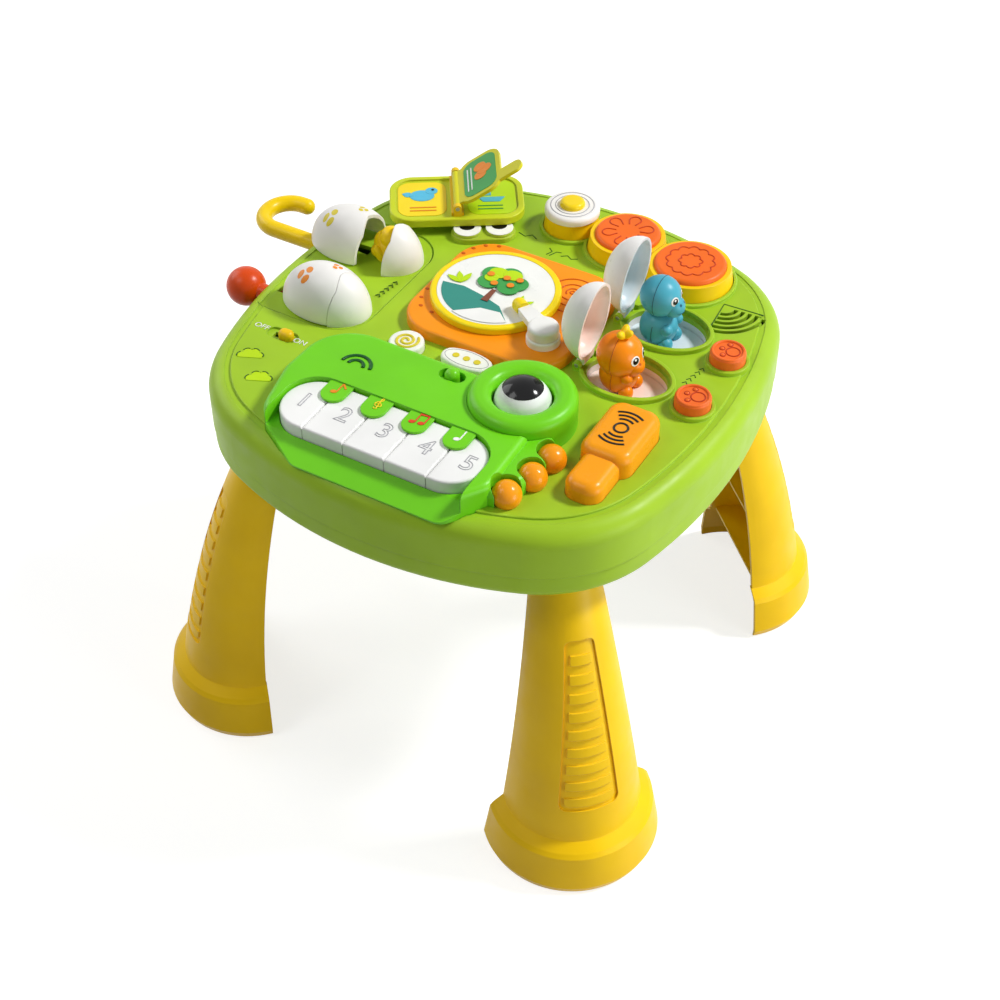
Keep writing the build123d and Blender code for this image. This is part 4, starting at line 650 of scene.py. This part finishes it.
def deck_marks():
    """Leaf strokes by the drums and rows of plain chevrons by the eggs and the paw buttons, drawn as dark
    green lines that paint the shade in engraved marks.
    """
    strokes = [[(-48.0, 112.0, 0.0), (-42.0, 110.0, 0.0), (-38.0, 114.0, 0.0), (-33.0, 111.0, 0.0)],
               [(-18.0, 98.0, 0.0), (-16.0, 103.0, 0.0), (-19.5, 106.0, 0.0)],
               [(-15.5, 98.0, 0.0), (-13.0, 104.0, 0.0), (-9.5, 105.0, 0.0)],
               [(-8.0, 101.0, 0.0), (-4.0, 104.0, 0.0), (0.0, 101.5, 0.0), (4.0, 104.0, 0.0)]]
    tubes("deck_leaf_strokes", strokes, DECK_LINE, GROOVE_SHADE_GREEN, "table")
    for name, (x, y, turn) in CHEVRONS.items():
        row = []
        for place in (-2, -1, 0, 1, 2):
            spot_x, spot_y = turned(x, y, place * CHEVRON_STEP, 0.0, turn)
            low, high = spot_y - CHEVRON_HIGH, spot_y + CHEVRON_HIGH
            left, right = spot_x - CHEVRON_WIDE, spot_x + CHEVRON_WIDE
            row.append([(left, low, 0.0), (spot_x, high, 0.0), (right, low, 0.0)])
        tubes(f"chevrons_{name}", row, DECK_LINE, GROOVE_SHADE_GREEN, "table")


def grille_fan():
    # A dark green line of painted shade along the edges of the speaker's fan
    edge = [(GRILLE[0] + 1.0, GRILLE[1] - 26.0, 0.0), (GRILLE[0] - 1.5, GRILLE[1] + 2.5, 0.0),
            (GRILLE[0] + 27.0, GRILLE[1] + 4.0, 0.0)]
    tubes("grille_fan_line", [edge], LINE, GROOVE_SHADE_GREEN, "table")


# Hammer and paw buttons


def hammer_prints():
    x, y = HAMMER
    ring = arc(x, y, HAMMER_TOP, 4.4, 0, 360, 36)
    waves = [arc(x, y, HAMMER_TOP, radius, facing - 34, facing + 34)
             for facing in (90, 270) for radius in (8.5, 12.0, 15.5)]
    tubes("hammer_rings", [ring, *waves], WAVE_LINE, BLACK, "hammer_button")


def paw_reliefs():
    """A raised rim, a ring for the pad of the paw and three raised toes towards -X; the dark rings round the
    pad and the toes are painted shade.
    """
    look = SLOT_LOOKS["paw_orange"]
    for name, (x, y) in PAWS.items():
        body = f"paw_button_{name}"
        rim = arc(x, y, PAW_TOP, PAW_R - 1.6, 0, 352, 44)
        tubes(f"paw_rim_{name}", [rim], PAW_RIM_LINE, look, body, closed=True)
        pad = arc(x + 3.2, y + 0.6, PAW_TOP, 4.6, 0, 352, 30)
        toes = [turned(x + 3.2, y + 0.6, reach, 0.0, facing)
                for reach, facing in ((7.8, 180.0), (7.6, 128.0), (7.6, 232.0))]
        rings = [arc(toe_x, toe_y, PAW_TOP, 1.6, 0, 340, 18) for toe_x, toe_y in toes]
        tubes(f"paw_print_{name}", [pad, *rings], LINE, GROOVE_SHADE_PAD, body, closed=True)
        lumps = [cap_points(Vector((toe_x, toe_y, PAW_TOP - 1.2)), 2.0, (0.0, 0.0, 1.0), 60, 6, 20)
                 for toe_x, toe_y in toes]
        shell_piece(f"paw_toes_{name}", lumps, look, body)


# Drums


def wavy_ring(middle, radius, depth, bumps, bump_steps=12):
    points = []
    for step in range(bump_steps * bumps):
        angle = 2 * pi * step / (bump_steps * bumps)
        reach = radius + depth * abs(sin(bumps * angle / 2))
        points.append((middle[0] + reach * cos(angle), middle[1] + reach * sin(angle), PAD_TOP))
    return points


def petal(middle, facing):
    """An arch that opens towards the middle."""
    far_x, far_y = turned(*middle, 14.0, 0.0, facing)
    arch = arc(far_x, far_y, PAD_TOP, 4.2, facing - 105, facing + 105, 16)
    first = (*turned(*middle, 8.0, -2.2, facing), PAD_TOP)
    last = (*turned(*middle, 8.0, 2.2, facing), PAD_TOP)
    return [first, *arch, last]


def drum_prints():
    # The grey rings on the egg white and the dark petals and waves on the pads paint the shade in their
    # engraved lines
    rings = [arc(*EGG_DRUM, EGG_WHITE_TOP, radius, 0, 352, 44) for radius in (12.0, 15.5)]
    tubes("egg_rings", rings, DECK_LINE, SHADE_GREY, "drum_egg", closed=True)
    petals = [petal(MIDDLE_DRUM, 60 * place + 35) for place in range(6)]
    tubes("middle_pad_petals", petals, LINE, GROOVE_SHADE_PAD, "drum_middle")
    waves = [wavy_ring(RIGHT_DRUM, 15.0, 2.2, 12), wavy_ring(RIGHT_DRUM, 6.6, 1.8, 8)]
    tubes("right_pad_waves", waves, LINE, GROOVE_SHADE_PAD, "drum_right", closed=True)


# Turntable


def plinth_marks():
    # Dark dimples and arcs of painted shade, where the plinth is dimpled and engraved
    dimples = [oval(x, y, 1.5, 1.2) for x, y in PLINTH_DIMPLES]
    plate("plinth_dimples", dimples, PLINTH_TOP, PLINTH_TOP + PRINT, GROOVE_SHADE_ORANGE, "table")
    x, y = PLINTH_ARCS
    arcs = [arc(x, y, PLINTH_TOP, 1.6, 0, 360), arc(x, y, PLINTH_TOP, 4.4, -60, 230),
            arc(x, y, PLINTH_TOP, 9.2, -40, 215), arc(x, y, PLINTH_TOP, 15.6, 20, 165)]
    arcs += [arc(x + 4.0, y + 16.0, PLINTH_TOP, radius, 248, 292, 8) for radius in (25.0, 31.0, 38.0)]
    tubes("plinth_arcs", arcs, PLINTH_LINE, GROOVE_SHADE_ORANGE, "table")


def label_picture():
    """A made-up garden picture: a round tree with fruit on a mound, with leaves at its sides."""
    x, y = PLATTER
    first = LABEL_TOP
    second, third = first + 2 * PRINT, first + 4 * PRINT
    ground = [(x + 37.0 * cos(radians(a)), y + 37.0 * sin(radians(a))) for a in range(196, 316, 6)]
    ground += [(x + 12.0, y - 16.0), (x - 4.0, y - 11.0), (x - 20.0, y - 8.0)]
    plate("label_ground", [ground], first, first + PRINT, TEAL, "platter")
    path = [(x + 38.5 * cos(radians(a)), y + 38.5 * sin(radians(a))) for a in range(250, 316, 6)]
    path += [(x + 16.0, y - 22.0), (x + 2.0, y - 24.0)]
    plate("label_path", [path], first + PRINT, second, WHITE, "platter")
    trunk = [(x - 2.6, y - 16.0), (x + 2.6, y - 16.0), (x + 1.6, y - 2.0), (x - 1.6, y - 2.0)]
    plate("label_trunk", [trunk], second, second + PRINT, BROWN, "platter")
    crown = [oval(x + reach * cos(radians(a)), y + 9.0 + 0.8 * reach * sin(radians(a)), 8.0, 7.4)
             for reach, a in ((0.0, 0), (11.0, 10), (11.0, 80), (11.0, 150), (10.0, 220), (10.0, 320))]
    plate("label_crown", crown, third, third + PRINT, GREEN, "platter")
    light = [oval(x - 6.0, y + 15.0, 7.0, 6.0), oval(x + 4.0, y + 17.0, 7.0, 5.6),
             oval(x - 8.0, y + 8.0, 5.0, 4.4)]
    plate("label_light", light, third + 2 * PRINT, third + 3 * PRINT, LIME, "platter")
    fruit = [oval(x + along, y + across, 2.6, 2.6)
             for along, across in ((8.0, 6.0), (-3.0, 3.0), (11.0, 14.0), (-10.0, 11.0), (2.0, 12.0))]
    plate("label_fruit", fruit, third + 4 * PRINT, third + 5 * PRINT, ORANGE, "platter")
    leaves = [leaf(x + 22.0, y - 12.0, 14.0, 4.4, turn) for turn in (15, 55, 95)]
    leaves += [leaf(x - 24.0, y - 6.0, 13.0, 4.4, turn) for turn in (85, 125, 165)]
    plate("label_leaves", leaves, second, second + PRINT, LIME, "platter")


# Eggs on the left


def egg_prints():
    for egg, look, big, small in (("front", ORANGE, (-129.5, -35.9), (-112.5, -22.0)),
                                  ("rear", OLIVE, (-154.0, 30.5), (-135.0, 44.0))):
        spots = trefoil(*big, 6.4, 60.0) + trefoil(*small, 4.0, 20.0)
        drape(f"egg_{egg}_spots", f"egg_{egg}_shell", spots, look, f"egg_{egg}")


def baby_details():
    """Eyes, a crest, short wings, hips and a round back of the babies in the eggs."""
    eyes, lumps = [], []
    for y in BABY_Y:
        head = Vector((BABY_X, y, 0.0)) + BABY_HEAD
        for side in (-1, 1):
            eyes.append((head, BABY_HEAD_R + 0.15, (0.8, 0.52 * side, 0.3), 11))
            wing = (BABY_X - 1.0, y + 9.6 * side, BABY_BODY_UP + 3.0)
            lumps.append(blob(wing, (11.0, 5.0), (-0.5, 0.1 * side, 0.86)))
            hip = (BABY_X - 6.0, y + 5.5 * side, BABY_BODY_UP)
            lumps.append(blob(hip, (10.0, 8.0), (0.0, 0.2 * side, 0.9)))
        back = (BABY_X - 4.6, y, BABY_BODY_UP + 4.5)
        lumps.append(blob(back, (18.0, 12.0), (0.1, 0.0, 1.0)))
        for lean in (-40, -12, 16, 44):
            up = Vector((sin(radians(lean)), 0.0, cos(radians(lean))))
            lumps.append(blob(head + up * (BABY_HEAD_R - 1.6), (3.4, 4.2), up))
    caps("baby_eyes", eyes, IRIS, "table")
    shell_piece("baby_crests", lumps, SLOT_LOOKS["baby_yellow"], "table")


# Pop-up dinosaurs


def ball_line(centre, radius, start, end, steps=24):
    """A line over a ball, in the upright plane across the way that the figure faces."""
    angles = [radians(start + (end - start) * step / steps) for step in range(steps + 1)]
    return [tuple(centre + radius * Vector((0.04, sin(angle), cos(angle)))) for angle in angles]


def dino_faces():
    # The nostrils, smile and seams are drawn in a darker copy of the figure's plastic, which paints the shade
    # in them
    for name, groove in (("front", GROOVE_SHADE_AMBER), ("rear", GROOVE_SHADE_BLUE)):
        where = Matrix.Translation((DINO_X, DINO_Y[name], 0.0))
        body = f"dino_{name}"
        head = Vector((0.0, 0.0, DINO_HEAD_UP[name]))
        head_r = DINO_HEAD_R[name]
        whites, pupils, glints = [], [], []
        for side in (-1, 1):
            whites.append((head, head_r + 0.15, (0.92, 0.36 * side, 0.18), 13))
            pupils.append((head, head_r + 0.3, (0.93, 0.345 * side, 0.18), 9))
            glints.append((head, head_r + 0.45, (0.91, 0.36 * side, 0.25), 3))
        caps(f"dino_{name}_eyes", whites, WHITE, body, where)
        caps(f"dino_{name}_pupils", pupils, IRIS, body, where)
        caps(f"dino_{name}_glints", glints, WHITE, body, where)
        snout = head + DINO_SNOUT
        nostrils = [(snout, DINO_SNOUT_R + 0.1, (0.8, 0.3 * side, 0.5), 7) for side in (-1, 1)]
        caps(f"dino_{name}_nostrils", nostrils, groove, body, where)
        smile = [(snout.x + DINO_SNOUT_R * 0.95 * cos(radians(a)), DINO_SNOUT_R * 0.95 * sin(radians(a)),
                  snout.z - 2.4 + 0.0006 * a * a) for a in range(-60, 61, 10)]
        tubes(f"dino_{name}_smile", [smile], SMILE_LINE, groove, body, where)
        chest = Vector((0.0, 0.0, DINO_BODY_UP))
        seams = [ball_line(head, head_r, -130, 130), ball_line(chest, DINO_BODY_R, 62, 120),
                 ball_line(chest, DINO_BODY_R, -62, -120)]
        tubes(f"dino_{name}_seams", seams, SEAM_LINE, groove, body, where)


def dino_tuft():
    """Three short leaves on the front figure's head."""
    top = Vector((DINO_X + 2.0, DINO_Y["front"], DINO_HEAD_UP["front"] + DINO_HEAD_R["front"] - 0.4))
    leaves = []
    for direction in ((0.75, 0.0, 0.66), (-0.1, 0.78, 0.62), (-0.1, -0.78, 0.62)):
        way = Vector(direction)
        leaves.append(blob(top + 3.4 * way, (9.4, 5.6), way))
    shell_piece("dino_front_tuft", leaves, SLOT_LOOKS["baby_yellow"], "dino_front")


# Flap book


def book_matrix():
    return Matrix.Translation((*BOOK, 0.0)) @ Matrix.Rotation(radians(BOOK_TURN), 4, "Z")


def book_pictures():
    """Made-up pictures: a blue bird on the left leaf, a boat on the right one, a tree on the flap."""
    where = book_matrix()
    low, high = BOOK_LEAF, BOOK_LEAF + PRINT
    left, right = -25.0, 25.0
    plate("book_left_field", [rounded_box(left, 0.0, 35.0, 43.0, 9.0)], low, high, YELLOW, "table", where)
    plate("book_right_field", [rounded_box(right, 0.0, 35.0, 43.0, 9.0)], low, high, LIME, "table", where)
    bird = [oval(left, 4.0, 9.0, 7.0), oval(left + 7.0, 10.0, 4.5, 4.2), leaf(left - 6.0, 4.0, 9.0, 6.0, 160)]
    plate("book_bird", bird, high, high + PRINT, BLUE, "table", where)
    plate("book_bird_eye", [oval(left + 8.0, 11.0, 1.0, 1.0)], high + 2 * PRINT, high + 3 * PRINT, BLACK,
          "table", where)
    boat = [[(right - 10.0, 0.0), (right + 10.0, 0.0), (right + 6.0, -6.0), (right - 6.0, -6.0)],
            [(right, 2.0), (right, 14.0), (right - 8.0, 2.0)]]
    plate("book_boat", boat, high, high + PRINT, BLUE, "table", where)
    rows = [bar(left - 9.0, y, left + 10.0, y, 1.1) for y in (-11.0, -15.0)]
    plate("book_left_lines", rows, high, high + PRINT, ORANGE, "table", where)
    rows = [bar(right - 10.0, y, right + 8.0, y, 1.1) for y in (-11.0, -15.0)]
    plate("book_right_lines", rows, high, high + PRINT, GREEN, "table", where)
    page = where @ Matrix.Translation((0.0, 0.0, PIN_TOP)) @ Matrix.Rotation(radians(-PAGE_OPEN), 4, "Y")
    first = PAGE_TOP + PRINT
    second = first + PRINT
    plate("page_field", [rounded_box(21.0, 0.0, 27.0, 43.0, 8.0)], PAGE_TOP, first, GREEN, "page", page)
    crown = [oval(25.0, 4.0, 6.0, 5.0), oval(21.5, -1.0, 5.0, 5.0), oval(21.5, 9.0, 5.0, 5.0)]
    plate("page_tree", crown, first, second, ORANGE, "page", page)
    lines = [bar(x, -14.0, x, 14.0, 0.9) for x in (11.0, 14.0)]
    plate("page_lines", lines, first, second, WHITE, "page", page)


def frog_faces():
    where = book_matrix()
    low = FROG_EYE_TOP
    sides = (-FROG_EYE_SIDE, FROG_EYE_SIDE)
    whites = [oval(FROG_EYES.x + side, FROG_EYES.y, 9.9, 9.9) for side in sides]
    plate("frog_eye_whites", whites, low, low + PRINT, WHITE, "table", where)
    pupils = [oval(FROG_EYES.x + side, FROG_EYES.y + 2.4, 5.6, 5.0) for side in sides]
    plate("frog_eye_pupils", pupils, low + PRINT, low + 2 * PRINT, IRIS, "table", where)


# Studio


def backdrop_rays(tree):
    """One for rays from the camera and those that gloss sends on, so that gloss shows the backdrop."""
    ray = tree.nodes.new("ShaderNodeLightPath")
    found = ray.outputs["Is Camera Ray"]
    for kind in ("Is Glossy Ray", "Is Transmission Ray"):
        either = tree.nodes.new("ShaderNodeMath")
        either.operation = "MAXIMUM"
        tree.links.new(found, either.inputs[0])
        tree.links.new(ray.outputs[kind], either.inputs[1])
        found = either.outputs["Value"]
    return found


def floor():
    """A pale floor that stays white to the camera and takes a soft shadow."""
    mesh = bpy.data.meshes.new("floor")
    half = FLOOR_HALF
    corners = [(-half, -half, 0), (half, -half, 0), (half, half, 0), (-half, half, 0)]
    mesh.from_pydata(corners, [], [(0, 1, 2, 3)])
    ground = bpy.data.objects.new("floor", mesh)
    bpy.context.scene.collection.objects.link(ground)
    material = bpy.data.materials.new("floor_white")
    material.use_nodes = True
    tree = material.node_tree
    tree.nodes.clear()
    out = tree.nodes.new("ShaderNodeOutputMaterial")
    matt = tree.nodes.new("ShaderNodeBsdfDiffuse")
    matt.inputs["Color"].default_value = (FLOOR_GREY, FLOOR_GREY, FLOOR_GREY, 1)
    glow = tree.nodes.new("ShaderNodeEmission")
    glow.inputs["Color"].default_value = (1, 1, 1, 1)
    tree.links.new(spread(tree, backdrop_rays(tree), 0.0, FLOOR_GLOW, 0.0, 1.0), glow.inputs["Strength"])
    both = tree.nodes.new("ShaderNodeAddShader")
    tree.links.new(matt.outputs["BSDF"], both.inputs[0])
    tree.links.new(glow.outputs["Emission"], both.inputs[1])
    tree.links.new(both.outputs["Shader"], out.inputs["Surface"])
    mesh.materials.append(material)


def world():
    """White to the camera and in gloss, a dim even light to everything else."""
    sky = bpy.data.worlds.new("studio")
    bpy.context.scene.world = sky
    sky.use_nodes = True
    tree = sky.node_tree
    back = tree.nodes["Background"]
    back.inputs["Color"].default_value = (1, 1, 1, 1)
    tree.links.new(spread(tree, backdrop_rays(tree), WORLD_LIGHT, 1.0, 0.0, 1.0), back.inputs["Strength"])


def lamp(name, place, aim, size, power):
    light = bpy.data.lights.new(name, "AREA")
    light.size = size
    light.energy = power
    thing = bpy.data.objects.new(name, light)
    thing.location = place
    thing.rotation_euler = (Vector(aim) - Vector(place)).to_track_quat("-Z", "Y").to_euler()
    bpy.context.scene.collection.objects.link(thing)


def lights():
    for name, (place, size, power) in LAMPS.items():
        lamp(name, place, LAMP_AIM, size, power)


def camera():
    lens = bpy.data.cameras.new("camera")
    lens.lens = CAMERA_LENS
    lens.sensor_width = CAMERA_SENSOR
    thing = bpy.data.objects.new("camera", lens)
    thing.location = CAMERA_PLACE
    thing.rotation_euler = (CAMERA_AIM - CAMERA_PLACE).to_track_quat("-Z", "Y").to_euler()
    bpy.context.scene.collection.objects.link(thing)
    bpy.context.scene.camera = thing


paint_solids()
for detail in (key_digits, note_prints, head_arcs, iris, snail_spiral, bubble_dots, switch_words, bushes,
               deck_marks, grille_fan, hammer_prints, paw_reliefs, drum_prints, plinth_marks, label_picture,
               egg_prints, baby_details, dino_faces, dino_tuft, book_pictures, frog_faces, floor, world,
               lights, camera):
    detail()
bpy.context.scene.view_settings.view_transform = "Standard"
